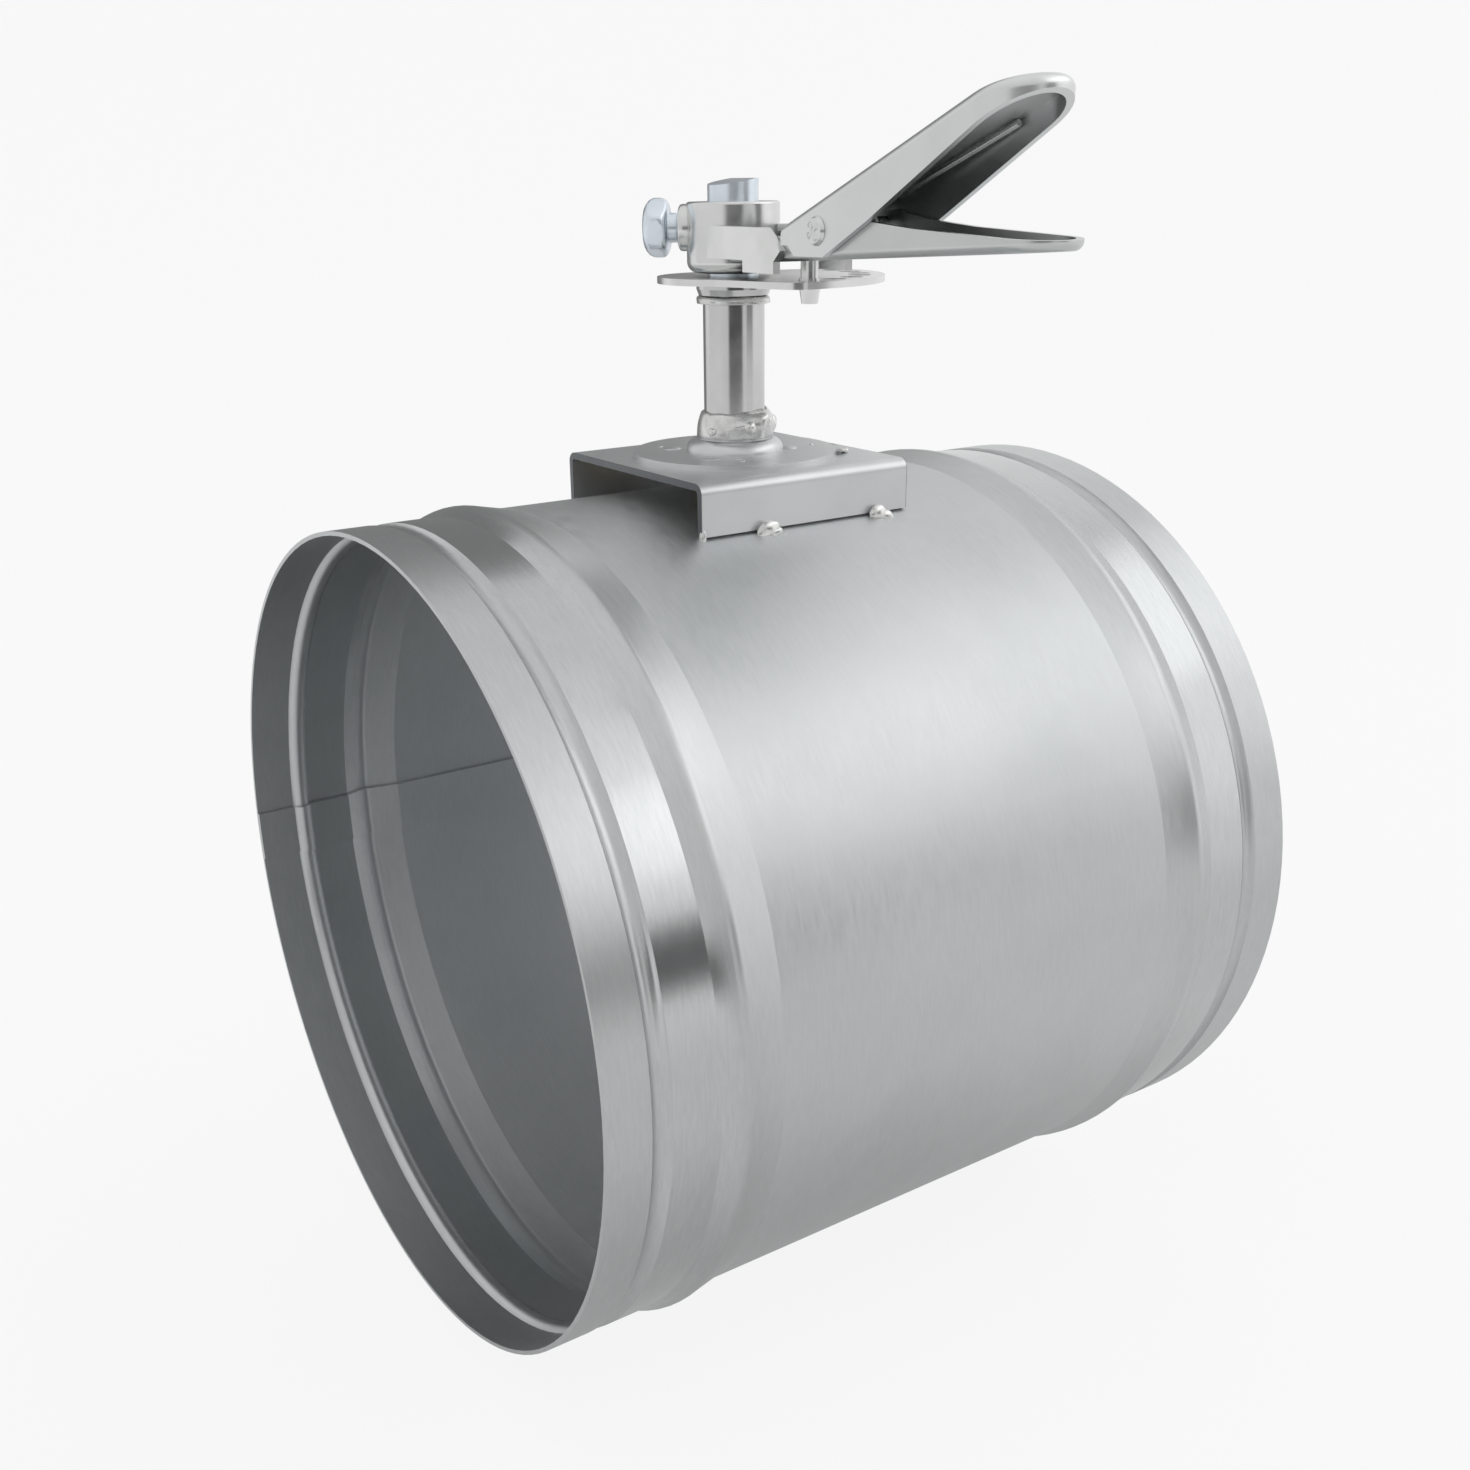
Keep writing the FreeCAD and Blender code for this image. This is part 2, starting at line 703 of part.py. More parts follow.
def make_blade_strap(name, lift):
    """Strip bent over the spindle, its feet flat on the blade."""
    body = new_body(name)
    inner = "(shaft_radius + seat_gap)"
    outer = "(shaft_radius + seat_gap + strap_wall)"
    face = "(shaft_radius)"
    outline = [
        (face, "0 - strap_reach"),
        (face, "0 - " + inner),
        ("0", "0 - " + inner),
        ("0 - " + inner, "0"),
        ("0", inner),
        (face, inner),
        (face, "strap_reach"),
        (face + " - strap_wall", "strap_reach"),
        (face + " - strap_wall", outer),
        ("0", outer),
        ("0 - " + outer, "0"),
        ("0", "0 - " + outer),
        (face + " - strap_wall", "0 - " + outer),
        (face + " - strap_wall", "0 - strap_reach"),
    ]
    arcs = {2: (inner, -1), 3: (inner, -1), 9: (outer, 1), 10: (outer, 1)}
    pad(body, draw(new_sketch(body, "XY_Plane"), outline, arcs), "strap_height", True)
    holes = [("(%s) * strap_screw_reach" % side, "0", "screw_radius + seat_gap")
             for side in ("1", "0 - 1")]
    cut(body, "Pocket", draw_circles(new_sketch(body, "YZ_Plane"), holes), "4 * shaft_radius", True)
    place(body, MIDDLE, "0", lift + " * strap_offset")


def hexagon(corner):
    """Corners of a hexagon about the origin."""
    return [("(%s) * cos(%ddeg)" % (corner, angle), "(%s) * sin(%ddeg)" % (corner, angle))
            for angle in range(0, 360, 60)]


def make_blade_fasteners():
    """Screw through a strap's foot and the blade, and its nut behind the blade."""
    for number, (lift, side) in enumerate(screw_places(), 1):
        screw = new_body("blade_screw_%d" % number)
        head = [("0", "0", "screw_head_radius")]
        pad(screw, draw_circles(new_sketch(screw, "YZ_Plane"), head), "screw_head_height")
        shank = [("0", "0", "screw_radius")]
        length = "screw_head_height + strap_wall + blade_wall + nut_height + screw_tail"
        pad(screw, draw_circles(new_sketch(screw, "YZ_Plane"), shank), length)
        start = MIDDLE + " + shaft_radius - strap_wall - seat_gap - screw_head_height"
        place(screw, start, "(%s) * strap_screw_reach" % side, "(%s) * strap_offset" % lift)
        nut = new_body("blade_nut_%d" % number)
        pad(nut, draw(new_sketch(nut, "YZ_Plane"), hexagon("nut_corner_radius")), "nut_height")
        bore = [("0", "0", "screw_radius + seat_gap")]
        cut(nut, "Pocket", draw_circles(new_sketch(nut, "YZ_Plane"), bore), "4 * nut_height", True)
        start = MIDDLE + " + " + BLADE_FACE + " + blade_wall + seat_gap"
        place(nut, start, "(%s) * strap_screw_reach" % side, "(%s) * strap_offset" % lift)


# Hub, its nut and the set bolt

def make_hub():
    """Barrel on the spindle with two ears that hold the handle, bored and drilled for the bolt."""
    body = new_body("hub")
    neck = draw(new_sketch(body, "YZ_Plane"), [
        ("0 - hub_radius / 4", "ear_web_foot"),
        ("0 - hub_radius / 4", "ear_top"),
        ("0 - ear_brow_reach", "ear_top"),
        ("0 - ear_brow_reach", "ear_web_foot"),
    ])
    pad(body, neck, "2 * (hub_radius - ear_step)", True)
    ears = draw(new_sketch(body, "YZ_Plane"), [
        ("0 - ear_lobe_back", "ear_lobe_foot"),
        ("0 - ear_lobe_back", "ear_top"),
        ("0 - ear_brow_reach", "ear_top"),
        ("0 - ear_nose_reach", "ear_nose_height"),
        ("0 - ear_lobe_reach", "ear_web_foot"),
        ("0 - ear_lobe_reach", "ear_lobe_foot"),
    ])
    pad(body, ears, "2 * hub_radius", True)
    half = "(handle_width / 2 + lever_gap)"
    channel = draw(new_sketch(body, "XY_Plane"), [
        ("0 - " + half, "0 - hub_radius / 2"),
        ("0 - " + half, "0 - 2 * ear_nose_reach"),
        (half, "0 - 2 * ear_nose_reach"),
        (half, "0 - hub_radius / 2"),
    ])
    cut(body, "Pocket", channel, "4 * hub_height", True)
    turn(body, draw(new_sketch(body, "XZ_Plane"), [
        ("0", "0"),
        ("hub_radius - hub_foot_round", "0"),
        ("hub_radius", "hub_foot_round"),
        ("hub_radius", "hub_height - hub_top_round"),
        ("hub_radius - hub_top_round", "hub_height"),
        ("0", "hub_height"),
    ], {1: ("hub_foot_round", 1), 3: ("hub_top_round", 1)}))
    bore = [("0", "0", "shaft_radius + turning_fit / 2")]
    cut(body, "Pocket", draw_circles(new_sketch(body, "XY_Plane"), bore), "4 * hub_height", True)
    drilled = new_sketch(body, "YZ_Plane")
    facing = FreeCAD.Rotation(VECTOR(0, 1, 0), read("bolt_bearing"))
    drilled.AttachmentOffset = FreeCAD.Placement(VECTOR(0, 0, 0), facing)
    draw_circles(drilled, [("0", "bolt_height", "bolt_radius + seat_gap")])
    cut(body, "Pocket", drilled, "2 * hub_radius", False, True)
    place(body, MIDDLE, "0", HUB_FOOT)


def toward_bolt(item):
    """Lay a piece that was modelled along +Z on the bolt's axis, pointing away from the spindle."""
    level = FreeCAD.Rotation(VECTOR(0, 0, 1), read("bolt_bearing"))
    item.Placement = FreeCAD.Placement(VECTOR(0, 0, 0), level * FreeCAD.Rotation(VECTOR(0, 1, 0), 90))
    place(item, MIDDLE, "0", HUB_FOOT + " + bolt_height")


def make_hub_nut():
    """Nut welded to the barrel, hollowed to sit on it."""
    blank = primitive("Prism", "hub_nut_blank", {
        "Circumradius": "hub_nut_corner", "Height": "hub_nut_reach"})
    toward_bolt(blank)
    barrel = primitive("Cylinder", "hub_nut_barrel", {
        "Radius": "hub_radius + seat_gap / 2", "Height": "4 * hub_height"})
    place(barrel, MIDDLE, "0", HUB_FOOT + " - hub_height")
    drill = primitive("Cylinder", "hub_nut_drill", {
        "Radius": "bolt_radius + seat_gap", "Height": "2 * hub_nut_reach"})
    toward_bolt(drill)
    seated = combined("Cut", "hub_nut_seated", blank, barrel)
    finished(combined("Cut", "hub_nut", seated, drill), "hub_nut")


def make_set_bolt():
    """Hexagon bolt whose end bears on the spindle."""
    body = new_body("set_bolt")
    start = "shaft_radius + seat_gap / 2"
    top = "bolt_head_start + bolt_head_height"
    turn(body, draw(new_sketch(body, "XZ_Plane"), [
        ("0", start),
        ("bolt_radius", start),
        ("bolt_radius", "bolt_head_start + bolt_head_height / 2"),
        ("0", "bolt_head_start + bolt_head_height / 2"),
    ]))
    head = new_sketch(body, "XY_Plane")
    bind(head, "AttachmentOffset.Base.z", "bolt_head_start")
    pad(body, draw(head, hexagon("bolt_head_corner")), "bolt_head_height")
    bevel = draw(new_sketch(body, "XZ_Plane"), [
        ("bolt_head_corner + bolt_bevel_run", top + " + bolt_head_bevel"),
        ("bolt_head_corner - 2 * bolt_bevel_run", top + " + bolt_head_bevel"),
        ("bolt_head_corner + bolt_bevel_run", top + " - 2 * bolt_head_bevel"),
    ])
    cut_ring = body.newObject("PartDesign::Groove", "set_bolt_bevel")
    cut_ring.Profile = bevel
    cut_ring.ReferenceAxis = (bevel, ["V_Axis"])
    cut_ring.Angle = 360
    toward_bolt(body)


# Handle, lever, rivet, spring and pin

def web_level(reach):
    """Height of the lower handle's underside at one reach."""
    return "(web_root + web_rise * (%s) / handle_reach)" % reach


def on_bend(skin):
    """Test for the edges between a channel's web and its walls: skin is +1 where the web is on top."""
    def wanted(edge, shape):
        middle = edge.valueAt((edge.FirstParameter + edge.LastParameter) / 2)
        normals = [face.normalAt(*face.Surface.parameter(middle))
                   for face in shape.ancestorsOfType(edge, Part.Face)]
        web = [normal for normal in normals if skin * normal.z > 0.5]
        wall = [normal for normal in normals if abs(normal.z) < 0.1 and normal.y < 0.5]
        return bool(web) and bool(wall)
    return wanted


def channel(name, width, wall, reach, bend, skin, side, side_arcs, core, core_arcs):
    """Pressed channel with a rounded end: a side outline and a plan outline, less the same core."""
    def plan(half, end):
        return [
            ("0 - " + half, "0"),
            ("0 - " + half, "0 - (%s) + %s" % (end, half)),
            ("0", "0 - (%s)" % end),
            (half, "0 - (%s) + %s" % (end, half)),
            (half, "0"),
        ]
    outer = "(%s) / 2" % width
    inner = "((%s) / 2 - %s)" % (width, wall)
    tall = "8 * handle_reach"
    bulge = {1: (outer, 1), 2: (outer, 1)}
    hollow = {1: (inner, 1), 2: (inner, 1)}
    form = combined("Common", name + "_form",
                    prism(name + "_side", side, side_arcs, width, True),
                    prism(name + "_plan", plan(outer, reach), bulge, tall, False))
    doc.recompute()
    body = doc.addObject("PartDesign::Body", name + "_body")
    body.BaseFeature = form
    doc.recompute()
    round_edges(body, bend, on_bend(skin))
    space = combined("Common", name + "_space",
                     prism(name + "_core", core, core_arcs, "%s - 2 * %s" % (width, wall), True),
                     prism(name + "_core_plan", plan(inner, "%s - %s" % (reach, wall)), hollow, tall, False))
    return combined("Cut", name + "_channel", body, space)


def cross_hole(name, radius):
    """Cylinder along X for the rivet."""
    item = primitive("Cylinder", name, {"Radius": radius, "Height": "4 * handle_width"})
    item.Placement = FreeCAD.Placement(VECTOR(0, 0, 0), FreeCAD.Rotation(VECTOR(0, 1, 0), 90))
    place(item, "0 - 2 * handle_width", "0 - pivot_reach", "pivot_height")
    return item


def make_lower_handle():
    """Fixed handle: a channel open upward, its walls raised round the rivet."""
    rim = [
        ("0 - handle_start", "rim_back_height"),
        ("0 - rim_back_reach", "rim_back_height"),
        ("0 - pivot_reach + pivot_cover", "pivot_height"),
        ("0 - pivot_reach", "pivot_height + pivot_cover"),
        ("0 - pivot_reach - pivot_cover", "pivot_height + pivot_cover"),
        ("0 - rim_high_reach", "rim_high_height"),
        ("0 - rim_mid_reach", "rim_mid_height"),
        ("0 - handle_reach", "rim_tip_height"),
    ]
    side = rim + [
        ("0 - handle_reach", web_level("handle_reach")),
        ("0 - handle_start", web_level("handle_start")),
    ]
    core = [
        ("0", "4 * pivot_height"),
        ("0 - handle_reach", "4 * pivot_height"),
        ("0 - handle_reach", web_level("handle_reach") + " + handle_wall"),
        ("0", web_level("0") + " + handle_wall"),
    ]
    form = channel("lower_handle", "handle_width", "handle_wall", "handle_reach", "handle_bend", -1,
                   side, {2: ("pivot_cover", 1)}, core, {})
    rivet_hole = cross_hole("handle_rivet_hole", "rivet_radius + rivet_fit")
    drilled = combined("Cut", "lower_handle_drilled", form, rivet_hole)
    hole = primitive("Cylinder", "handle_pin_hole", {
        "Radius": "pin_radius + pin_clearance", "Height": "pivot_height"})
    place(hole, "0", "0 - pin_reach", "0")
    handle = finished(combined("Cut", "lower_handle", drilled, hole), "lower_handle")
    place(handle, MIDDLE, "0", HUB_FOOT)


def make_upper_lever():
    """Squeeze lever: a channel open downward over the handle, with a slotted tongue for the pin."""
    width = "handle_width + 2 * lever_gap + 2 * lever_wall"
    sheet_drop = "(lever_wall * sqrt(1 + %s ^ 2))" % LEVER_SLOPE
    side = [
        ("0 - lever_heel_reach", "lever_heel_height"),
        ("0 - " + LEVER_KNEE, "lever_knee_height"),
        ("0 - lever_reach", "lever_tip_height"),
        ("0 - lever_reach", "lever_rim_tip_height"),
        ("0 - lever_rim_low_reach", "lever_rim_low_height"),
        ("0 - lever_skirt_front", "lever_skirt_foot"),
        ("0 - lever_skirt_back", "lever_skirt_foot"),
        ("0 - lever_notch_reach", "lever_notch_height"),
        ("0 - lever_heel_reach", "lever_notch_height"),
    ]
    core = [
        ("0", "lever_heel_height - %s - lever_heel_reach * %s" % (sheet_drop, LEVER_SLOPE)),
        ("0 - " + LEVER_KNEE, "lever_knee_height - " + sheet_drop),
        ("0 - lever_reach", "lever_tip_height - " + sheet_drop),
        ("0 - lever_reach", "0 - lever_reach"),
        ("0", "0 - lever_reach"),
    ]
    crown = {1: ("lever_crown_radius", 1)}
    form = channel("upper_lever", width, "lever_wall", "lever_reach", "lever_bend", 1,
                   side, crown, core, crown)
    tongue = primitive("Box", "lever_tongue", {
        "Length": "tongue_width",
        "Width": "lever_heel_reach + tongue_overlap - tongue_back",
        "Height": "lever_wall"})
    tongue_start = "0 - lever_heel_reach - tongue_overlap"
    place(tongue, "0 - tongue_width / 2", tongue_start, "lever_heel_height - lever_wall")
    joined = combined("Fuse", "lever_joined", form, tongue)
    half_slot = "(pin_neck_radius + pin_clearance)"
    back = "(pivot_reach - (pivot_reach - pin_reach + %s + %s * sin(squeeze_angle * 1deg)) / %s)" % (
        half_slot, TONGUE_DROP, "cos(squeeze_angle * 1deg)")
    slot = primitive("Box", "lever_slot", {
        "Length": "2 * " + half_slot,
        "Width": "pin_reach + %s - %s" % (half_slot, back),
        "Height": "4 * lever_wall"})
    place(slot, "0 - " + half_slot, "0 - pin_reach - " + half_slot, "lever_heel_height - 2 * lever_wall")
    slotted = combined("Cut", "lever_slotted", joined, slot)
    hole = cross_hole("lever_rivet_hole", "rivet_radius + rivet_fit")
    lever = finished(combined("Cut", "upper_lever", slotted, hole), "upper_lever")
    place(lever, MIDDLE, "0", HUB_FOOT)


def make_pivot_rivet():
    """Rivet through the lever and the handle, spread at both ends."""
    half = "(handle_width / 2 + lever_gap + lever_wall + seat_gap)"
    body = turned_piece("pivot_rivet", [
        ("0", "0 - %s - rivet_head_height" % half),
        ("rivet_radius", "0 - %s - rivet_head_height" % half),
        ("rivet_head_radius", "0 - " + half),
        ("rivet_radius", "0 - " + half),
        ("rivet_radius", half),
        ("rivet_head_radius", half),
        ("rivet_radius", half + " + rivet_head_height"),
        ("0", half + " + rivet_head_height"),
    ])
    body.Placement = FreeCAD.Placement(VECTOR(0, 0, 0), FreeCAD.Rotation(VECTOR(0, 1, 0), 90))
    place(body, MIDDLE, "0 - pivot_reach", HUB_FOOT + " + pivot_height")


def make_torsion_spring():
    """Coil on the rivet, one leg under the lever's web and one on the handle's web."""
    radius = read("rivet_radius + coil_clearance + wire_radius")
    turns = read("coil_turns")
    wire = read("wire_radius")
    length = read("coil_length")
    rise = read(LEVER_SLOPE)
    fall = read("web_rise / handle_reach")
    start_angle = read("-90deg - atan(%.9f)" % fall)
    end_angle = read("90deg - atan(%.9f)" % rise)
    whole = turns + (end_angle - start_angle) / 360
    helix = Part.makeHelix(length / whole, length, radius)
    helix.rotate(VECTOR(0, 0, 0), VECTOR(0, 0, 1), start_angle)
    start = helix.Vertexes[0].Point
    end = helix.Vertexes[-1].Point
    edges = helix.Edges
    into = edges[0].tangentAt(edges[0].FirstParameter)
    out = edges[-1].tangentAt(edges[-1].LastParameter)
    lower = Part.makeLine(start - into * read("lower_leg_length"), start)
    upper = Part.makeLine(end, end + out * read("upper_leg_length"))
    path = Part.Wire([lower] + edges + [upper])
    section = Part.Wire(Part.makeCircle(wire, start - into * read("lower_leg_length"), into))
    solid = path.makePipeShell([section], True, True)
    solid.rotate(VECTOR(0, 0, 0), VECTOR(1, 1, 1), 120)
    item = doc.addObject("Part::Feature", "torsion_spring")
    item.Shape = solid
    finished(item, "torsion_spring")
    place(item, MIDDLE + " + coil_start", "0 - pivot_reach", HUB_FOOT + " + pivot_height")


def make_locking_pin():
    """Stepped pin: tapered end in the index plate, neck in the tongue's slot, head on the tongue."""
    foot = "(0 - hub_clearance - plate_wall - pin_tip_drop)"
    head = "(lever_heel_height + 2 * seat_gap)"
    body = turned_piece("locking_pin", [
        ("0", foot),
        ("pin_tip_radius", foot),
        ("pin_radius", foot + " + pin_taper"),
        ("pin_radius", foot + " + pin_taper + pin_body"),
        ("pin_neck_radius", foot + " + pin_taper + pin_body"),
        ("pin_neck_radius", head),
        ("pin_head_radius", head),
        ("pin_head_radius", head + " + pin_head_height"),
        ("0", head + " + pin_head_height"),
    ])
    place(body, MIDDLE, "0 - pin_reach", HUB_FOOT)


def make_all():
    """Make every piece in order from the duct outward."""
    make_duct_shell()
    make_saddle_bracket()
    rows = (MIDDLE + " - tack_back", MIDDLE + " + tack_front")
    tacks = [(side, along) for side in ("(0 - 1)", "1") for along in rows]
    for number, (side, along) in enumerate(tacks, 1):
        make_bracket_tack(number, along, side)
    make_flange_washer()
    make_flange_tack()
    make_standoff_tube()
    make_tube_fittings()
    make_index_plate()
    make_shaft()
    make_bushes()
    make_retaining_ring()
    make_damper_blade()
    make_blade_strap("blade_strap_upper", "1")
    make_blade_strap("blade_strap_lower", "(0 - 1)")
    make_blade_fasteners()
    make_hub()
    make_hub_nut()
    make_set_bolt()
    make_lower_handle()
    make_upper_lever()
    make_pivot_rivet()
    make_torsion_spring()
    make_locking_pin()


def check_all():
    """Stop if any object failed or any piece is not one sound solid."""
    for item in doc.Objects:
        if "Invalid" in item.State or "Error" in item.State:
            raise RuntimeError(item.Name + " failed: " + ", ".join(item.State))
    for piece in pieces:
        if piece.Shape.isNull() or not piece.Shape.isValid():
            raise RuntimeError(piece.Label + " has no valid shape")
        if len(piece.Shape.Solids) != 1 or piece.Shape.Volume <= 0:
            raise RuntimeError(piece.Label + " is not one solid")


doc = FreeCAD.newDocument("StovePipeDamper")
sheet = doc.addObject("Spreadsheet::Sheet", "Sizes")
for row, (alias, amount) in enumerate(SIZES.items(), 1):
    sheet.set("A%d" % row, alias)
    sheet.set("B%d" % row, str(amount))
    sheet.setAlias("B%d" % row, alias)
doc.recompute()
probe = doc.addObject("Part::Vertex", "probe")
pieces = []
make_all()
doc.removeObject("probe")
doc.recompute()
check_all()
os.makedirs("parts", exist_ok=True)
for piece in pieces:
    piece.Shape.exportStep("parts/%s.step" % piece.Label)
print("pieces:", len(pieces))
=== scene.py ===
"""Looks of a stove pipe damper: finishes, welds, set bolt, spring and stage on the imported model.

Metres, in the model's own frame: +X along the duct from the inlet rim, +Z up the spindle.
"""

import math

import bmesh
import bpy
import numpy as np
from mathutils import Matrix, Vector


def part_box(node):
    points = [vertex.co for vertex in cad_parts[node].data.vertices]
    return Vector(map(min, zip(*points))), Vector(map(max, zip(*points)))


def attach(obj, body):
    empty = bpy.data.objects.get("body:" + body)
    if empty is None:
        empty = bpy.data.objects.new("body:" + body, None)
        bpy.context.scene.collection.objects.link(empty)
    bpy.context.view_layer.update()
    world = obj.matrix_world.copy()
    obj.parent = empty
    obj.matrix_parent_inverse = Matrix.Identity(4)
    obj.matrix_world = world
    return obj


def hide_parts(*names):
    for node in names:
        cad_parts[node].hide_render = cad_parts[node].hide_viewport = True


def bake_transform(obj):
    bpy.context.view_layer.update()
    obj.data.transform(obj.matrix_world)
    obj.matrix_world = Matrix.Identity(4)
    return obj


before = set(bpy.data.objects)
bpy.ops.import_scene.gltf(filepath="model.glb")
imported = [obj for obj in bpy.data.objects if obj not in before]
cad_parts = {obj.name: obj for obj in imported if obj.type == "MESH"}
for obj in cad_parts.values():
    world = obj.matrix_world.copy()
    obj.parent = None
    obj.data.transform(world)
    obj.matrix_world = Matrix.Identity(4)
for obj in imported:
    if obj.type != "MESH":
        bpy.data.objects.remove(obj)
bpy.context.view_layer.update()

bl_info = {
    "name": "Stove pipe damper",
    "version": (1, 0, 0),
    "blender": (4, 5, 0),
    "location": "View3D > Sidebar > Damper",
    "description": "Finishes, weld beads and stage for a stove pipe damper",
    "category": "Object",
}

MM = 0.001
SAME_PLACE = 0.0001 * MM
TWO_PI = 2 * math.pi
SPINDLE = Vector((sum(corner.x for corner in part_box("shaft")) / 2, 0.0, 0.0))

# Set bolt and its boss: bearing and turn in degrees, half the width across the flats, how sharp
# the hexagon's corners are, and sections of radius and reach from the spindle
BOLT_BEARING = 138
BOLT_FACET = 52
BOLT_FLAT = 5.95 * MM
HEXAGON_POWER = 28
BOLT_SECTION = np.array([
    (0.0, 9.2), (3.3, 9.2), (3.3, 14.9), (3.35, 15.3), (4.9, 15.3), (5.6, 15.5), (6.2, 15.9),
    (6.6, 16.5), (6.7, 17.2), (6.7, 18.4), (6.5, 19.2), (6.1, 19.9), (5.4, 20.5), (4.7, 20.9),
    (4.0, 21.0), (0.0, 21.0)]) * MM
BOSS_SECTION = np.array([
    (3.5, 9.7), (5.0, 9.7), (5.25, 10.4), (5.25, 12.0), (5.1, 12.5), (4.7, 12.75), (4.0, 12.8),
    (3.5, 12.6)]) * MM

# Staked rivet ends: rise of the lip, share of the rivet's radius, and the punch marks' reach,
# width and turn, then the slot's turn, width, end and share of the marks' depth
STAKE_RISE = 0.35 * MM
STAKE_SHARE = 0.88
MARK_REACH, MARK_WIDTH, MARK_TURN = 0.5, 0.22, 0.6
SLOT_TURN, SLOT_WIDTH, SLOT_END, SLOT_SHARE = 1.2, 0.13, 0.92, 0.8

# Ring welds: name, share of the lump height and crown; lumps on the skin and along the top, how
# much the top waves, and the share of the bead's reach at which the lumps are full
RING_WELDS = (("tube_foot_weld", 1.25, 0.45), ("collar_weld", 0.45, 0.7))
SKIN_LUMPS = 26
TOP_LUMPS = 16
TOP_WAVE = 0.22
FULL_REACH = 0.6

# Tacks: offset from the middle and radii in millimetres and seed of each drop, and how lumpy the
# drops are; the washer's tack has its size as a share of its box, its lumps and a second drop
TACK_DROPS = (((-1.4, -0.2, -0.7), (2.9, 1.2, 2.3), 0),
              ((0.4, 0.0, -1.5), (2.2, 1.1, 1.7), 7),
              ((2.3, 0.5, -2.4), (1.5, 0.8, 0.9), 14))
TACK_LUMP = 0.32
FLANGE_SHARE = 0.36
FLANGE_LUMP = 0.25
FLANGE_DROP = ((1.6, -0.6, -0.1), (1.2, 1.0, 0.7))

# Drops: how lumpy they are, lumps on each and their width; offsets in millimetres from the
# spindle at the weld's foot, or from two corners of the bracket, and radii as multiples of the
# spatter radius
DROP_LUMP = 0.3
DROP_BUMPS = 9
BUMP_WIDTH = 0.12
FOOT_DROPS = (((-9.4, -4.1, 2.0), (0.9, 0.9, 0.9)),
              ((7.4, -4.6, 2.6), (1.6, 1.6, 2.3)),
              ((-1.6, -9.3, 2.9), (1.9, 1.3, 1.5)),
              ((3.4, -8.4, 3.6), (1.5, 1.2, 1.2)),
              ((1.2, -8.9, 1.3), (2.1, 1.1, 0.9)))
CORNER_DROPS = (((0.4, 0.3, -0.5), (0.8, 0.8, 1.9)),
                ((-0.6, -0.3, -0.2), (0.9, 0.7, 1.4)))

# Loose drops on the washer: count, radii, and their reach as a share of its radius
LOOSE_DROPS = 9
LOOSE_RADII = (0.5, 0.4, 0.25)
LOOSE_REACH = (0.55, 0.95)
WASHER_RADIUS = 0.025

# Dimples on the washer: places and radii in millimetres
DIMPLE_PLACES = ((88.0, 9.8), (111.3, -6.9), (113.5, 10.4), (87.0, -8.8))
DIMPLE_RADII = (2.2, 2.2, 0.36)

# Zones by distance in metres from the nearer end of the duct (start, full from, full to, end),
# and the tones that the zinc is multiplied by there and at a dark spot beside the washer's rim;
# the cut zone's tone is painted shade on the bracket's cut end faces
ROLLED_ZONE = (-0.002, -0.001, 0.034, 0.046)
BRIGHT_ZONE = (0.0125, 0.0155, 0.0275, 0.033)
# The cut zone and its tone paint shade on the bracket's cut end faces
SHADED_CUT_ZONE = (0.0690, 0.0692, 0.07005, 0.0702)
ROLLED_TONE = (0.92, 0.92, 0.92, 1)
CUT_SHADE_TONE = (0.24, 0.25, 0.26, 1)
DARK_SPOT_TONE = (0.5, 0.5, 0.52, 1)
DARK_SPOT_PLACE = (127.0 * MM, 0.5 * MM, 107.8 * MM)
DARK_SPOT_REACH = (2.2 * MM, 5.5 * MM)

# Stretch of the grain, and of the roller's chatter marks on the duct's ends
EVEN = (1.0, 1.0, 1.0)
ALONG_DUCT = (5.0, 0.7, 0.7)
CHATTER = (900, 260, 260)

# Finishes: settings of the pale and deep tone, the share of each, roughness or its setting,
# cloud scale, grain scale and bump
FINISHES = {
    "satin_plate": ("plate_pale", "plate_deep", 1, 1, 0.36, 35, 400, 0.03),
    "bracket_plate": ("plate_pale", "plate_deep", 1, 1, 0.4, 35, 400, 0.03),
    "weld_bead": ("weld_tone", "weld_tone", 1, 0.72, 0.27, 220, 350, 0.05),
    "tube_zinc": ("cast_pale", "cast_deep", 0.8, 0.8, 0.15, 60, 200, 0.01),
    "satin_zinc": ("cast_pale", "cast_deep", 1, 1, 0.23, 60, 200, 0.015),
    "pressed_zinc": ("bright_pale", "bright_deep", 1, 1, "bright_roughness", 45, 300, 0.015),
    "handle_zinc": ("bright_pale", "bright_deep", 0.83, 0.83, "bright_roughness", 45, 300, 0.015),
    "blue_zinc": ("blue_zinc", "blue_zinc", 1, 0.9, 0.32, 120, 250, 0.01),
    "spring_wire": ("cast_pale", "cast_deep", 0.66, 0.66, 0.28, 200, 900, 0.01),
    "bush_metal": ("bush_pale", "bush_deep", 1, 1, 0.3, 120, 700, 0.1),
}

# Camera: frame, focal length and centre in pixels, turn in degrees, place in metres, and the
# sensor's width in millimetres
PHOTO_SIZE = 1470
PHOTO_FOCAL = 1582.68
PHOTO_CENTRE_X = 706.125
PHOTO_CENTRE_Y = 823.181
PHOTO_AZIMUTH = -33.304
PHOTO_ELEVATION = 22.162
PHOTO_ROLL = -0.83
PHOTO_PLACE = Vector((-125.407, -327.780, 171.288)) * MM
SENSOR = 36

# Lamp: bearing and elevation in degrees, size and distance in metres
LAMP_PLACE = (-31, 38)
LAMP_SIZE = (1.45, 0.42)
LAMP_DISTANCE = 1.2

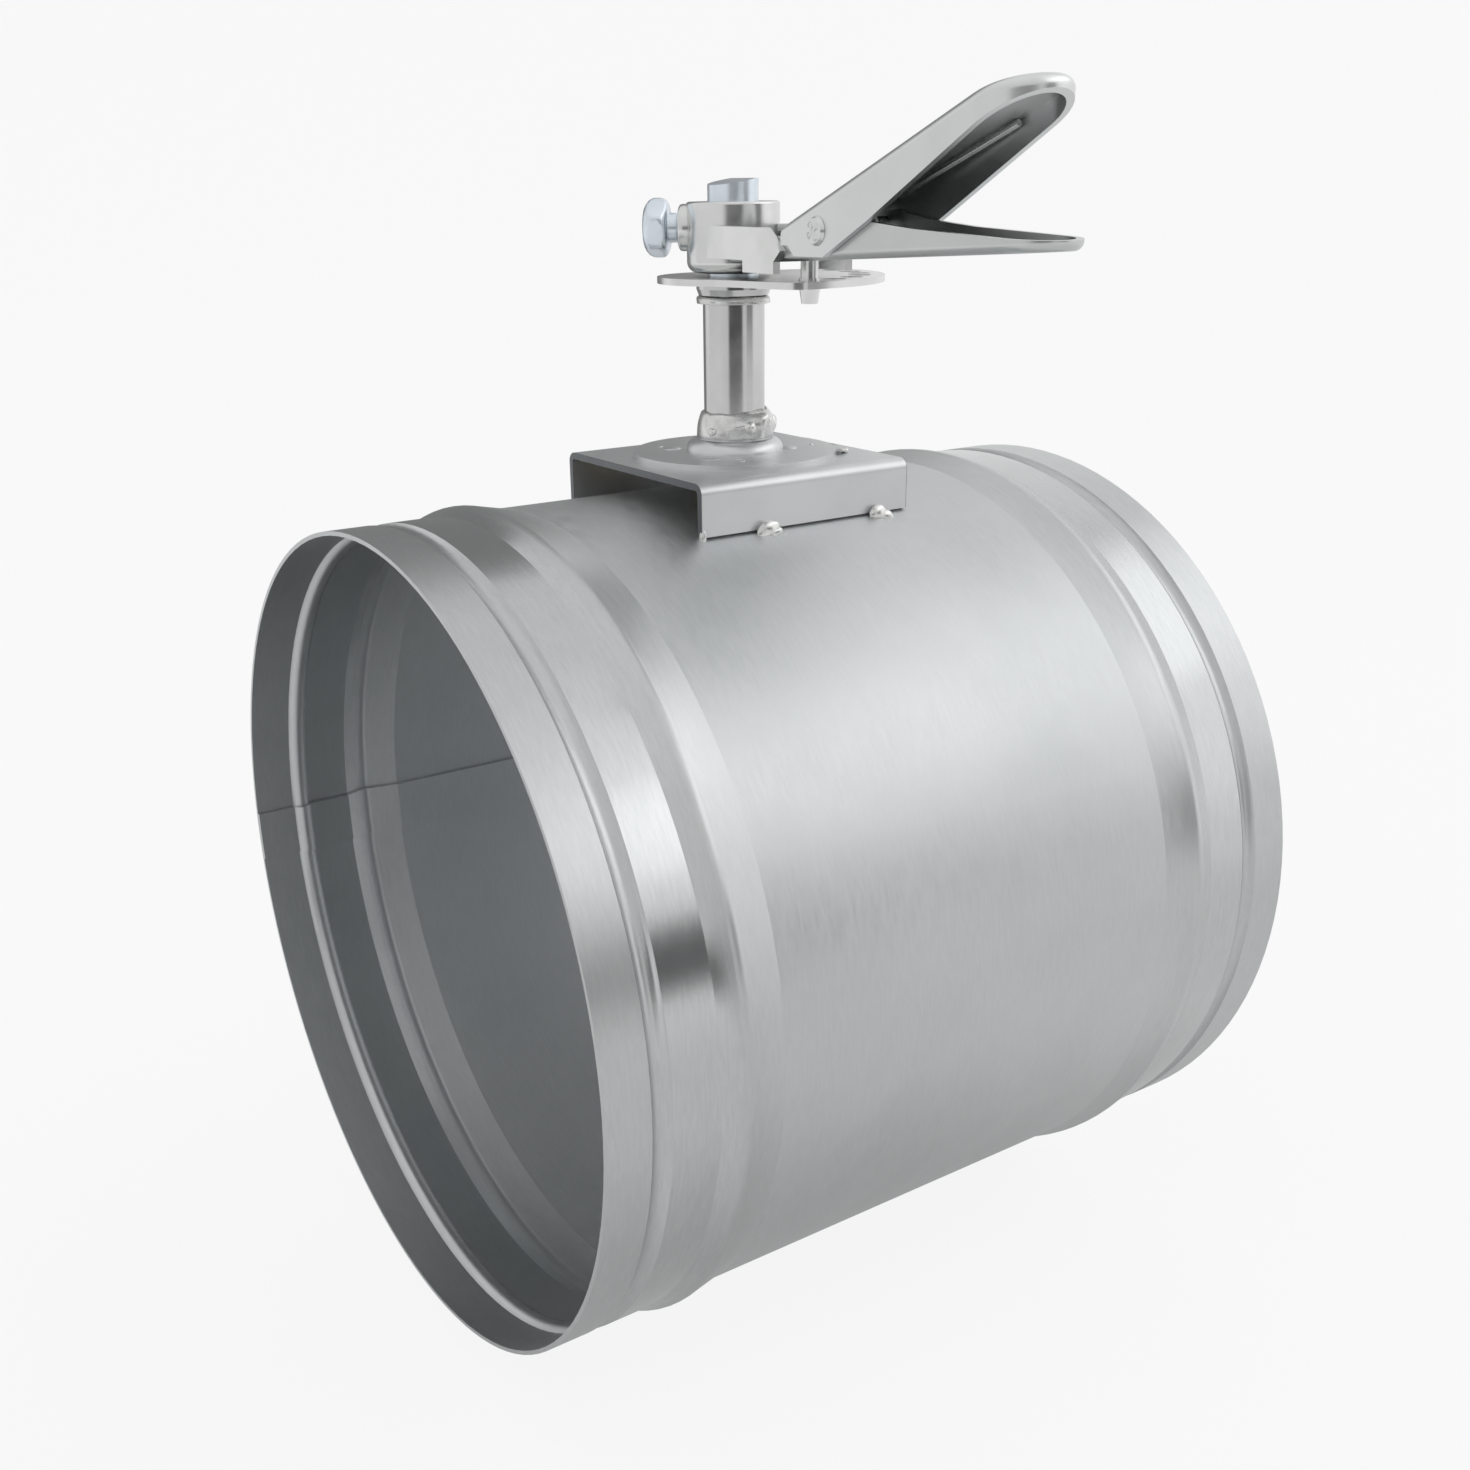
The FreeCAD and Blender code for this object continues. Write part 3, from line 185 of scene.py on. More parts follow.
# Studio walls: bearings and elevations in degrees, ramps of the cosine between directions or of
# the direction's height; a dark patch has bearing, cosine at its edge and full, foot and head
ROOF_RAMP = (0.65, 0.95)
HALO_PLACE = (-33, 28)
HALO_RAMP = (0.72, 0.95)
LEFT_PLACE = (124, 0)
LEFT_RAMP = (0.5, 0.95)
DARK_PATCHES = ((-63, 0.965, 0.987, -0.08, 0.22), (-118, 0.87, 0.93, -0.24, 0.12))
PATCH_EDGE = 0.04
SKY_SHARE = 0.95

# Paper, in metres: way back from the camera, run from front to back, half width and points along
# both, where its bend starts and how long that is, its rise and power, and the gap to the shaft
PAPER_BACK = Vector((0.549, 0.836))
PAPER_RUN = (-1.6, 1.2)
PAPER_HALF = 2.4
PAPER_STEPS = (57, 25)
BEND_START, BEND_LENGTH = 0.55, 0.65
BEND_RISE, BEND_POWER = 1.6, 2.2
PAPER_GAP = 0.5 * MM

# Paper's matt colour, and what the metal mirrors of it by distance, a glow that is a painted
# reflection:
# a near ramp and its two tones, darker by the object as a painted shadow, a far ramp and its tone,
# and a shaded sector at a bearing; then how much of the paper that the camera sees is its own tone
PAPER_MATT = (0.9, 0.9, 0.9, 1)
NEAR_SHADOW_RAMP = (0.09, 0.22)
NEAR_SHADOW_TONES = (0.45, 0.70)
FAR_RAMP = (0.42, 0.9)
FAR_TONE = 0.86
SHADE_BEARING = 78
SHADE_SECTOR = (0.855, 0.95)
SHADE_RAMP = (0.36, 0.52)
SHADE_TONE = 0.22
PAPER_SHARE = 0.88


class DamperFinish(bpy.types.PropertyGroup):
    """Colours and roughness of the finishes."""

    sheet_pale: bpy.props.FloatVectorProperty(
        name="Sheet, pale", description="Lighter tone of the galvanised sheet",
        subtype="COLOR", size=4, min=0, max=1, default=(0.71, 0.725, 0.73, 1))
    sheet_deep: bpy.props.FloatVectorProperty(
        name="Sheet, deep", description="Darker tone of the galvanised sheet",
        subtype="COLOR", size=4, min=0, max=1, default=(0.605, 0.625, 0.63, 1))
    sheet_roughness: bpy.props.FloatProperty(
        name="Sheet roughness", description="How soft the sheet's reflections are",
        subtype="FACTOR", min=0, max=1, default=0.45)
    rim_roughness: bpy.props.FloatProperty(
        name="Rim roughness", description="How soft the reflections of the rims and beads are",
        subtype="FACTOR", min=0, max=1, default=0.34)
    band_roughness: bpy.props.FloatProperty(
        name="Band roughness", description="How soft the reflections between groove and bead are",
        subtype="FACTOR", min=0, max=1, default=0.2)
    bright_pale: bpy.props.FloatVectorProperty(
        name="Bright zinc, pale", description="Lighter tone of the plated pressings",
        subtype="COLOR", size=4, min=0, max=1, default=(0.80, 0.81, 0.805, 1))
    bright_deep: bpy.props.FloatVectorProperty(
        name="Bright zinc, deep", description="Darker tone of the plated pressings",
        subtype="COLOR", size=4, min=0, max=1, default=(0.755, 0.77, 0.77, 1))
    bright_roughness: bpy.props.FloatProperty(
        name="Bright zinc roughness", description="How soft the pressings' reflections are",
        subtype="FACTOR", min=0, max=1, default=0.3)
    cast_pale: bpy.props.FloatVectorProperty(
        name="Satin zinc, pale",
        description="Lighter tone of the hub, the tube and the index plate",
        subtype="COLOR", size=4, min=0, max=1, default=(0.84, 0.845, 0.84, 1))
    cast_deep: bpy.props.FloatVectorProperty(
        name="Satin zinc, deep",
        description="Darker tone of the hub, the tube and the index plate",
        subtype="COLOR", size=4, min=0, max=1, default=(0.74, 0.75, 0.74, 1))
    plate_pale: bpy.props.FloatVectorProperty(
        name="Plate, pale", description="Lighter tone of the bracket, the washer and the blade",
        subtype="COLOR", size=4, min=0, max=1, default=(0.76, 0.765, 0.775, 1))
    plate_deep: bpy.props.FloatVectorProperty(
        name="Plate, deep", description="Darker tone of the bracket, the washer and the blade",
        subtype="COLOR", size=4, min=0, max=1, default=(0.68, 0.69, 0.70, 1))
    blue_zinc: bpy.props.FloatVectorProperty(
        name="Blue zinc", description="Tone of the spindle and the fasteners",
        subtype="COLOR", size=4, min=0, max=1, default=(0.86, 0.93, 1.0, 1))
    weld_tone: bpy.props.FloatVectorProperty(
        name="Weld", description="Tone of the weld metal",
        subtype="COLOR", size=4, min=0, max=1, default=(0.88, 0.88, 0.87, 1))
    bush_pale: bpy.props.FloatVectorProperty(
        name="Bush, pale", description="Lighter tone of the two bushes",
        subtype="COLOR", size=4, min=0, max=1, default=(0.72, 0.60, 0.36, 1))
    bush_deep: bpy.props.FloatVectorProperty(
        name="Bush, deep", description="Darker tone of the two bushes",
        subtype="COLOR", size=4, min=0, max=1, default=(0.60, 0.48, 0.27, 1))


class DamperWelds(bpy.types.PropertyGroup):
    """Sizes of the weld beads, the spatter and the rivet's punch marks."""

    lump: bpy.props.FloatProperty(
        name="Lump height", description="How far a bead's lumps stand out",
        unit="LENGTH", min=0, max=0.003, default=0.0009)
    spatter_radius: bpy.props.FloatProperty(
        name="Spatter radius", description="Radius that the spatter drops are multiples of",
        unit="LENGTH", min=0.0001, max=0.003, default=0.001)
    stake_depth: bpy.props.FloatProperty(
        name="Stake depth", description="Depth of the punch marks on the rivet's ends",
        unit="LENGTH", min=0, max=0.001, default=0.0008)
    seed: bpy.props.IntProperty(name="Seed", description="Order of the lumps and drops", default=11)


class DamperStage(bpy.types.PropertyGroup):
    """Brightness of the lamp, the studio walls and the paper."""

    key_power: bpy.props.FloatProperty(
        name="Key lamp", description="Power of the long lamp at the right front",
        subtype="POWER", min=0, default=0.8)
    halo_tone: bpy.props.FloatProperty(
        name="Glow round the key", description="Brightness of the wall round the long lamp",
        min=0, max=4, default=1.06)
    wall_tone: bpy.props.FloatProperty(
        name="Walls", description="Brightness of the studio walls that the metal mirrors",
        min=0, max=4, default=0.70)
    roof_tone: bpy.props.FloatProperty(
        name="Roof", description="Brightness overhead that the metal mirrors",
        min=0, max=4, default=0.80)
    side_tone: bpy.props.FloatProperty(
        name="Left wall", description="Brightness at the back left that the metal mirrors",
        min=0, max=4, default=0.72)
    dark_tone: bpy.props.FloatProperty(
        name="Dark patches", description="Brightness of the dark patches at the horizon",
        min=0, max=4, default=0.05)
    paper_tone: bpy.props.FloatProperty(
        name="Paper", description="Brightness of the pale paper that the camera sees",
        subtype="FACTOR", min=0, max=1, default=0.985)


# Shapes

def grid_faces(rows, columns, close_rows, close_columns):
    """Quads of a grid of rows by columns points, wrapped round where it closes."""
    row = np.arange(rows if close_rows else rows - 1)
    column = np.arange(columns if close_columns else columns - 1)
    row, column = np.meshgrid(row, column, indexing="ij")
    next_row = (row + 1) % rows
    next_column = (column + 1) % columns
    corners = (row * columns + column, next_row * columns + column,
               next_row * columns + next_column, row * columns + next_column)
    return np.stack(corners, axis=-1).reshape(-1, 4)


def merge_points(mesh):
    """Make one point of points in the same place, and drop the faces that this leaves empty."""
    shape = bmesh.new()
    shape.from_mesh(mesh)
    bmesh.ops.remove_doubles(shape, verts=shape.verts, dist=SAME_PLACE)
    shape.to_mesh(mesh)
    shape.free()


def new_piece(name, points, faces, body, slot, material, replaced=()):
    """Make a smooth mesh piece that rides on a body and may stand for model nodes."""
    mesh = bpy.data.meshes.new(name)
    faces = faces if isinstance(faces, list) else faces.tolist()
    mesh.from_pydata(points.reshape(-1, 3).tolist(), [], faces)
    merge_points(mesh)
    mesh.polygons.foreach_set("use_smooth", np.ones(len(mesh.polygons), dtype=bool))
    mesh.materials.append(material)
    piece = bpy.data.objects.new(name, mesh)
    bpy.context.scene.collection.objects.link(piece)
    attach(piece, body)
    if replaced:
        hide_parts(*replaced)


def round_bumps(angle, rise, seed, count):
    """Sum of round bumps over a skin that wraps round in angle and runs from 0 to 1 in rise.

    bump = height * exp(-((1 - cos(angle - place)) / wide) - ((rise - level) / tall)^2)
    """
    draw = np.random.default_rng(seed)
    place = draw.uniform(0, TWO_PI, count)
    level = draw.uniform(0.1, 1, count)
    wide = draw.uniform(0.015, 0.08, count)
    tall = draw.uniform(0.2, 0.5, count)
    height = draw.uniform(-0.5, 1, count)
    turn = 1 - np.cos(angle[..., None] - place)
    return (height * np.exp(-turn / wide - ((rise[..., None] - level) / tall)**2)).sum(axis=-1)


def lumpy_ring(inner, section, centre, lump, seed, around=300):
    """Ring of weld round the spindle's axis.

    Point = centre + (radius cos a, radius sin a, height) along a closed section. The radius grows
    by reach * lump * round bumps, where reach goes from 0 at the tube to 1, and the height is
    multiplied by 1 + wave * round bumps.
    """
    angle = np.linspace(0, TWO_PI, around, endpoint=False)[:, None]
    radius = section[None, :, 0]
    height = section[None, :, 1]
    rise = np.linspace(0, 1, len(section))[None, :]
    reach = np.clip((radius - inner) / (FULL_REACH * (section[:, 0].max() - inner)), 0, 1)
    bumps = round_bumps(angle + 0 * rise, rise + 0 * angle, seed, SKIN_LUMPS)
    radius = radius + reach * lump * bumps
    up = height * (1 + TOP_WAVE * round_bumps(angle, 0 * angle + 0.5, seed + 1, TOP_LUMPS))
    points = np.stack((radius * np.cos(angle), radius * np.sin(angle), up), axis=-1)
    return points + np.array(centre), grid_faces(around, len(section), True, True)


def bead_section(inner, outer, height, crown, steps=14):
    """Half section of a weld bead from its foot up: full at the foot, drawn in at the top.

    radius(u) = inner + (outer - inner) * (1 - u^(1 / (1 - crown)))^crown for u from 0 to 1.
    """
    rise = np.linspace(0, 1, steps)
    radius = inner + (outer - inner) * (1 - rise ** (1 / (1 - crown))) ** crown
    skin = np.stack((radius, height * rise), axis=-1)
    return np.concatenate((np.array(((inner, 0.0),)), skin))


def turned_ring(section, foot, flat, around=192):
    """Ring or bolt: a section turned about the set bolt's axis, from its inner end outwards.

    Point = foot + away * reach + radius * (side cos a + up sin a). A bolt's radius is never more
    than the hexagon's, flat / (sum of cos(a - facet)^power over its facets)^(1 / power).
    """
    bearing = math.radians(BOLT_BEARING)
    away = np.array((math.cos(bearing), math.sin(bearing), 0))
    up = np.array((0, 0, 1))
    angle = np.linspace(0, TWO_PI, around, endpoint=False)[:, None]
    radius = section[None, :, 0] + 0 * angle
    if flat:
        facing = np.cos(angle - math.radians(60) * np.arange(6) - math.radians(BOLT_FACET))
        shared = (facing.clip(0)**HEXAGON_POWER).sum(axis=1, keepdims=True)
        hexagon = flat / shared**(1 / HEXAGON_POWER)
        radius = np.minimum(radius, hexagon)
    spoke = np.cross(up, away) * np.cos(angle)[..., None] + up * np.sin(angle)[..., None]
    points = np.array(foot) + section[None, :, 1, None] * away + radius[..., None] * spoke
    return points, grid_faces(around, len(section), True, section[0, 0] > 0)


def staked_end(radius, depth, rows=16, columns=64):
    """Rivet end with a cross of punch marks and a lip.

    height(r, a) = 2 rise * (1 - (r / R)^4) - depth * (marks halfway out, deepest at four angles,
    and a slot across the middle). A point behind the middle closes the back.
    """
    reach = np.linspace(0, 1, rows)[1:, None]
    turn = np.linspace(0, TWO_PI, columns, endpoint=False)[None, :]
    ridge = np.exp(-((reach - MARK_REACH) / MARK_WIDTH)**2)
    marks = ridge * (0.5 + 0.5 * np.cos(4 * turn + MARK_TURN))**2
    slot = np.exp(-(reach * np.sin(turn - SLOT_TURN) / SLOT_WIDTH)**2) * (reach < SLOT_END)
    height = 2 * STAKE_RISE * (1 - reach**4) - depth * (marks + SLOT_SHARE * slot)
    ring = np.stack((radius * reach * np.cos(turn), radius * reach * np.sin(turn), height), axis=-1)
    middles = ((0, 0, STAKE_RISE), (0, 0, -0.2 * STAKE_RISE))
    points = np.concatenate((ring.reshape(-1, 3), middles))
    quads = grid_faces(rows - 1, columns, False, True).tolist()
    first = np.arange(columns)
    after = (first + 1) % columns
    count = len(points)
    front = np.stack((0 * first + count - 2, first, after), axis=-1).tolist()
    last = first + count - 2 - columns
    back = np.stack((0 * first + count - 1, after + last[0], last), axis=-1).tolist()
    return points, quads + front + back


def drop(centre, axes, lump, seed, rows=20, columns=32):
    """Lumpy ball: centre + (axis radii) * direction * (1 + lump * bumps).

    Each bump is height * exp((direction . place - 1) / width) about a seeded place on the ball.
    """
    draw = np.random.default_rng(seed)
    places = draw.normal(size=(DROP_BUMPS, 3))
    places /= np.linalg.norm(places, axis=1)[:, None]
    heights = draw.uniform(-0.6, 1, DROP_BUMPS)
    polar = np.linspace(0, math.pi, rows)[:, None]
    turn = np.linspace(0, TWO_PI, columns, endpoint=False)[None, :]
    outward = np.stack((np.sin(polar) * np.cos(turn), np.sin(polar) * np.sin(turn),
                        np.cos(polar) + 0 * turn), axis=-1)
    bumps = heights * np.exp((outward @ places.T - 1) / BUMP_WIDTH)
    swell = 1 + lump * bumps.sum(axis=-1)
    points = np.array(centre) + np.array(axes) * outward * swell[..., None]
    ring = points[1:-1].reshape(-1, 3)
    points = np.concatenate((ring, points[:1, 0], points[-1:, 0]))
    count = len(ring)
    after = (np.arange(columns) + 1) % columns
    last = count - columns
    pairs = list(enumerate(after.tolist()))
    top = [(count, first, second) for first, second in pairs]
    bottom = [(count + 1, last + second, last + first) for first, second in pairs]
    return points, grid_faces(rows - 2, columns, False, True).tolist() + top + bottom


def joined(parts):
    """One mesh of several: their points in order, with each one's faces shifted past the last."""
    points, faces = [], []
    for part_points, part_faces in parts:
        start = sum(len(done) for done in points)
        faces += [tuple(start + corner for corner in face) for face in part_faces]
        points.append(part_points)
    return np.concatenate(points), faces


# Shader nodes

def group_node(tree, group, values):
    """Place a shader node group with its own values."""
    node = tree.nodes.new("ShaderNodeGroup")
    node.node_tree = group
    for name, value in values.items():
        node.inputs[name].default_value = value
    return node


def maths_node(tree, kind, operation, *values):
    """Node that works on numbers or directions, given as values or as outputs of other nodes."""
    node = tree.nodes.new("ShaderNode" + kind)
    node.operation = operation
    for socket, value in zip(node.inputs, values):
        if isinstance(value, bpy.types.NodeSocket):
            tree.links.new(value, socket)
        else:
            socket.default_value = value
    return node


def product(tree, first, second):
    """Product of two values."""
    return maths_node(tree, "Math", "MULTIPLY", first, second).outputs["Value"]


def ramp_between(tree, value, start, end, low, high):
    """Smooth step of a value from low at the start to high at the end."""
    step = tree.nodes.new("ShaderNodeMapRange")
    step.interpolation_type = "SMOOTHSTEP"
    for name, amount in (("From Min", start), ("From Max", end), ("To Min", low), ("To Max", high)):
        step.inputs[name].default_value = amount
    tree.links.new(value, step.inputs["Value"])
    return step.outputs["Result"]


def blend(tree, mask, below, above):
    """Mix two values by a mask: the one below where it is 0, the one above where it is 1."""
    mix = tree.nodes.new("ShaderNodeMix")
    mix.data_type = "FLOAT"
    tree.links.new(mask, mix.inputs["Factor"])
    if isinstance(below, float):
        mix.inputs["A"].default_value = below
    else:
        tree.links.new(below, mix.inputs["A"])
    mix.inputs["B"].default_value = above
    return mix.outputs["Result"]


def direction(azimuth, elevation):
    """Unit vector at an azimuth from +X and an elevation, both in degrees."""
    turn, lift = math.radians(azimuth), math.radians(elevation)
    return (math.cos(turn) * math.cos(lift), math.sin(turn) * math.cos(lift), math.sin(lift))


def levelled(tree, ray):
    """A direction with its height taken out, at unit length."""
    flat = maths_node(tree, "VectorMath", "MULTIPLY", ray, (1, 1, 0))
    return maths_node(tree, "VectorMath", "NORMALIZE", flat.outputs["Vector"]).outputs["Vector"]


def toward(tree, ray, azimuth, elevation):
    """Cosine between a direction and one at an azimuth and an elevation."""
    way = direction(azimuth, elevation)
    return maths_node(tree, "VectorMath", "DOT_PRODUCT", ray, way).outputs["Value"]


def mixed_shader(tree, mask, first, second):
    """Shader that is the first where a mask is 0 and the second where it is 1."""
    mix = tree.nodes.new("ShaderNodeMixShader")
    for socket, value in zip(mix.inputs, (mask, first, second)):
        tree.links.new(value, socket)
    return mix.outputs["Shader"]


# Finishes

def mottled_group():
    """Cloudy tone of zinc: two scales of noise between a pale and a deep colour."""
    name = "mottled_zinc"
    if name in bpy.data.node_groups:
        return bpy.data.node_groups[name]
    group = bpy.data.node_groups.new(name, "ShaderNodeTree")
    face = group.interface
    for socket, kind in (("Pale", "NodeSocketColor"), ("Deep", "NodeSocketColor"),
                         ("Cloud scale", "NodeSocketFloat"), ("Grain scale", "NodeSocketFloat"),
                         ("Grain share", "NodeSocketFloat"), ("Stretch", "NodeSocketVector"),
                         ("Smoothest", "NodeSocketFloat"), ("Roughest", "NodeSocketFloat")):
        face.new_socket(socket, in_out="INPUT", socket_type=kind)
    for socket, kind in (("Color", "NodeSocketColor"), ("Roughness", "NodeSocketFloat"),
                         ("Height", "NodeSocketFloat")):
        face.new_socket(socket, in_out="OUTPUT", socket_type=kind)
    nodes = group.nodes
    link = group.links.new
    given = nodes.new("NodeGroupInput")
    result = nodes.new("NodeGroupOutput")
    place = nodes.new("ShaderNodeTexCoord")
    cloud = nodes.new("ShaderNodeTexNoise")
    cloud.inputs["Detail"].default_value = 5
    cloud.inputs["Roughness"].default_value = 0.6
    link(place.outputs["Object"], cloud.inputs["Vector"])
    link(given.outputs["Cloud scale"], cloud.inputs["Scale"])
    stretch = maths_node(group, "VectorMath", "MULTIPLY", place.outputs["Object"],
                         given.outputs["Stretch"])
    grain = nodes.new("ShaderNodeTexNoise")
    grain.inputs["Detail"].default_value = 6
    grain.inputs["Roughness"].default_value = 0.65
    link(stretch.outputs["Vector"], grain.inputs["Vector"])
    link(given.outputs["Grain scale"], grain.inputs["Scale"])
    mixed = nodes.new("ShaderNodeMix")
    mixed.data_type = "FLOAT"
    link(given.outputs["Grain share"], mixed.inputs["Factor"])
    link(cloud.outputs["Fac"], mixed.inputs["A"])
    link(grain.outputs["Fac"], mixed.inputs["B"])
    spread = nodes.new("ShaderNodeMapRange")
    spread.inputs["From Min"].default_value = 0.35
    spread.inputs["From Max"].default_value = 0.65
    link(mixed.outputs["Result"], spread.inputs["Value"])
    tone = nodes.new("ShaderNodeMix")
    tone.data_type = "RGBA"
    link(spread.outputs["Result"], tone.inputs["Factor"])
    link(given.outputs["Deep"], tone.inputs["A"])
    link(given.outputs["Pale"], tone.inputs["B"])
    rough = nodes.new("ShaderNodeMapRange")
    rough.inputs["From Min"].default_value = 0.3
    rough.inputs["From Max"].default_value = 0.7
    link(grain.outputs["Fac"], rough.inputs["Value"])
    link(given.outputs["Smoothest"], rough.inputs["To Min"])
    link(given.outputs["Roughest"], rough.inputs["To Max"])
    link(tone.outputs["Result"], result.inputs["Color"])
    link(rough.outputs["Result"], result.inputs["Roughness"])
    link(grain.outputs["Fac"], result.inputs["Height"])
    return group


def zinc_material(name, pale, deep, roughness, cloud, grain, stretch, bump,
                  share=0.12, spread=0.05):
    """Zinc finish: metallic, mottled in tone, grained in roughness and height."""
    material = bpy.data.materials.new(name)
    material.use_nodes = True
    tree = material.node_tree
    shader = tree.nodes["Principled BSDF"]
    shader.inputs["Metallic"].default_value = 0.95
    mottled = group_node(tree, mottled_group(), {
        "Pale": pale, "Deep": deep, "Cloud scale": cloud, "Grain scale": grain,
        "Grain share": share, "Stretch": stretch,
        "Smoothest": roughness - spread / 2, "Roughest": roughness + spread / 2})
    raised = tree.nodes.new("ShaderNodeBump")
    raised.inputs["Strength"].default_value = bump
    raised.inputs["Distance"].default_value = 0.1 * MM
    tree.links.new(mottled.outputs["Color"], shader.inputs["Base Color"])
    tree.links.new(mottled.outputs["Roughness"], shader.inputs["Roughness"])
    tree.links.new(mottled.outputs["Height"], raised.inputs["Height"])
    tree.links.new(raised.outputs["Normal"], shader.inputs["Normal"])
    return material


def end_zone_group():
    """Mask that is 1 between two distances from the nearer end of the duct and 0 elsewhere."""
    name = "end_zone"
    if name in bpy.data.node_groups:
        return bpy.data.node_groups[name]
    group = bpy.data.node_groups.new(name, "ShaderNodeTree")
    face = group.interface
    for socket in ("Length", "Start", "Start full", "End full", "End"):
        face.new_socket(socket, in_out="INPUT", socket_type="NodeSocketFloat")
    face.new_socket("Mask", in_out="OUTPUT", socket_type="NodeSocketFloat")
    nodes = group.nodes
    link = group.links.new
    given = nodes.new("NodeGroupInput")
    result = nodes.new("NodeGroupOutput")
    place = nodes.new("ShaderNodeTexCoord")
    split = nodes.new("ShaderNodeSeparateXYZ")
    link(place.outputs["Object"], split.inputs["Vector"])
    other = maths_node(group, "Math", "SUBTRACT", given.outputs["Length"], split.outputs["X"])
    nearest = maths_node(group, "Math", "MINIMUM", split.outputs["X"], other.outputs["Value"])
    steps = []
    for start, end in (("Start", "Start full"), ("End", "End full")):
        step = nodes.new("ShaderNodeMapRange")
        step.interpolation_type = "SMOOTHSTEP"
        link(nearest.outputs["Value"], step.inputs["Value"])
        link(given.outputs[start], step.inputs["From Min"])
        link(given.outputs[end], step.inputs["From Max"])
        steps.append(step.outputs["Result"])
    link(product(group, *steps), result.inputs["Mask"])
    return group


def deepen(tree, mask, tone):
    """Multiply a material's colour by a tone where a mask is 1."""
    shader = tree.nodes["Principled BSDF"]
    darker = tree.nodes.new("ShaderNodeMix")
    darker.data_type = "RGBA"
    darker.blend_type = "MULTIPLY"
    darker.inputs["B"].default_value = tone
    tree.links.new(mask, darker.inputs["Factor"])
    tree.links.new(shader.inputs["Base Color"].links[0].from_socket, darker.inputs["A"])
    tree.links.new(darker.outputs["Result"], shader.inputs["Base Color"])


def zone_mask(tree, zone):
    """Mask of a zone given by four distances from the nearer end of the duct."""
    low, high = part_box("duct_shell")
    values = dict(zip(("Start", "Start full", "End full", "End"), zone))
    return group_node(tree, end_zone_group(), {"Length": high.x - low.x, **values}).outputs["Mask"]


def add_cut_end_shade_and_dark_spot(material):
    """Paint shade on the bracket's cut end faces, and darken a spot beside the washer's tack."""
    tree = material.node_tree
    # Painted shade on the bracket's cut end faces
    deepen(tree, zone_mask(tree, SHADED_CUT_ZONE), CUT_SHADE_TONE)
    # Darken a spot beside the washer's tack
    place = tree.nodes.new("ShaderNodeTexCoord")
    apart = maths_node(tree, "VectorMath", "DISTANCE", place.outputs["Object"], DARK_SPOT_PLACE)
    deepen(tree, ramp_between(tree, apart.outputs["Value"], *DARK_SPOT_REACH, 1, 0), DARK_SPOT_TONE)


def duct_material(name, look):
    """Galvanised sheet: satin wall, smoother rolled ends, bright rings between groove and bead."""
    material = zinc_material(name, look.sheet_pale, look.sheet_deep, look.sheet_roughness,
                             cloud=16, grain=260, stretch=ALONG_DUCT, bump=0.10,
                             share=0.45, spread=0.12)
    tree = material.node_tree
    shader = tree.nodes["Principled BSDF"]
    rough = shader.inputs["Roughness"].links[0].from_socket
    masks = []
    for zone, smooth in ((ROLLED_ZONE, look.rim_roughness), (BRIGHT_ZONE, look.band_roughness)):
        mask = zone_mask(tree, zone)
        rough = blend(tree, mask, rough, smooth)
        masks.append(mask)
    tree.links.new(rough, shader.inputs["Roughness"])
    deepen(tree, masks[0], ROLLED_TONE)
    place = tree.nodes.new("ShaderNodeTexCoord")
    drawn_out = maths_node(tree, "VectorMath", "MULTIPLY", place.outputs["Object"], CHATTER)
    chatter = tree.nodes.new("ShaderNodeTexNoise")
    chatter.inputs["Detail"].default_value = 4
    chatter.inputs["Scale"].default_value = 1
    tree.links.new(drawn_out.outputs["Vector"], chatter.inputs["Vector"])
    ridged = tree.nodes.new("ShaderNodeBump")
    ridged.inputs["Strength"].default_value = 0.10
    ridged.inputs["Distance"].default_value = 0.08 * MM
    tree.links.new(product(tree, chatter.outputs["Fac"], masks[0]), ridged.inputs["Height"])
    tree.links.new(shader.inputs["Normal"].links[0].from_socket, ridged.inputs["Normal"])
    tree.links.new(ridged.outputs["Normal"], shader.inputs["Normal"])
    return material


def dimmed(colour, share):
    """The same colour at a share of its brightness."""
    return [share * part for part in colour[:3]] + [1]


def finish_of(name):
    """Material of a finish, made once from the settings."""
    if name in bpy.data.materials:
        return bpy.data.materials[name]
    look = bpy.context.scene.damper_finish
    if name == "galvanised_sheet":
        return duct_material(name, look)
    pale, deep, pale_share, deep_share, rough, cloud, grain, bump = FINISHES[name]
    if isinstance(rough, str):
        rough = getattr(look, rough)
    material = zinc_material(name, dimmed(getattr(look, pale), pale_share),
                             dimmed(getattr(look, deep), deep_share),
                             rough, cloud, grain, EVEN, bump)
    if name == "bracket_plate":
        add_cut_end_shade_and_dark_spot(material)
    return material


def dress(finish, *names):
    """Give model nodes a finish."""
    material = finish_of(finish)
    for name in names:
        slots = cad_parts[name].data.materials
        slots.clear()
        slots.append(material)


# Operators

class DAMPER_OT_duct(bpy.types.Operator):
    """Finish the duct shell."""

    bl_idname = "damper.duct"
    bl_label = "Duct shell"

    def execute(self, context):
        dress("galvanised_sheet", "duct_shell")
        return {"FINISHED"}


class DAMPER_OT_blade(bpy.types.Operator):
    """Finish the blade, its straps and fasteners, and the bushes."""

    bl_idname = "damper.blade"
    bl_label = "Blade and bushes"

    def execute(self, context):
        dress("satin_plate", "damper_blade", "blade_strap_upper", "blade_strap_lower")
        fasteners = [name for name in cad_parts
                     if name.startswith(("blade_screw", "blade_nut"))]
        dress("blue_zinc", "retaining_ring", *fasteners)
        dress("bush_metal", "upper_bush", "lower_bush")
        return {"FINISHED"}


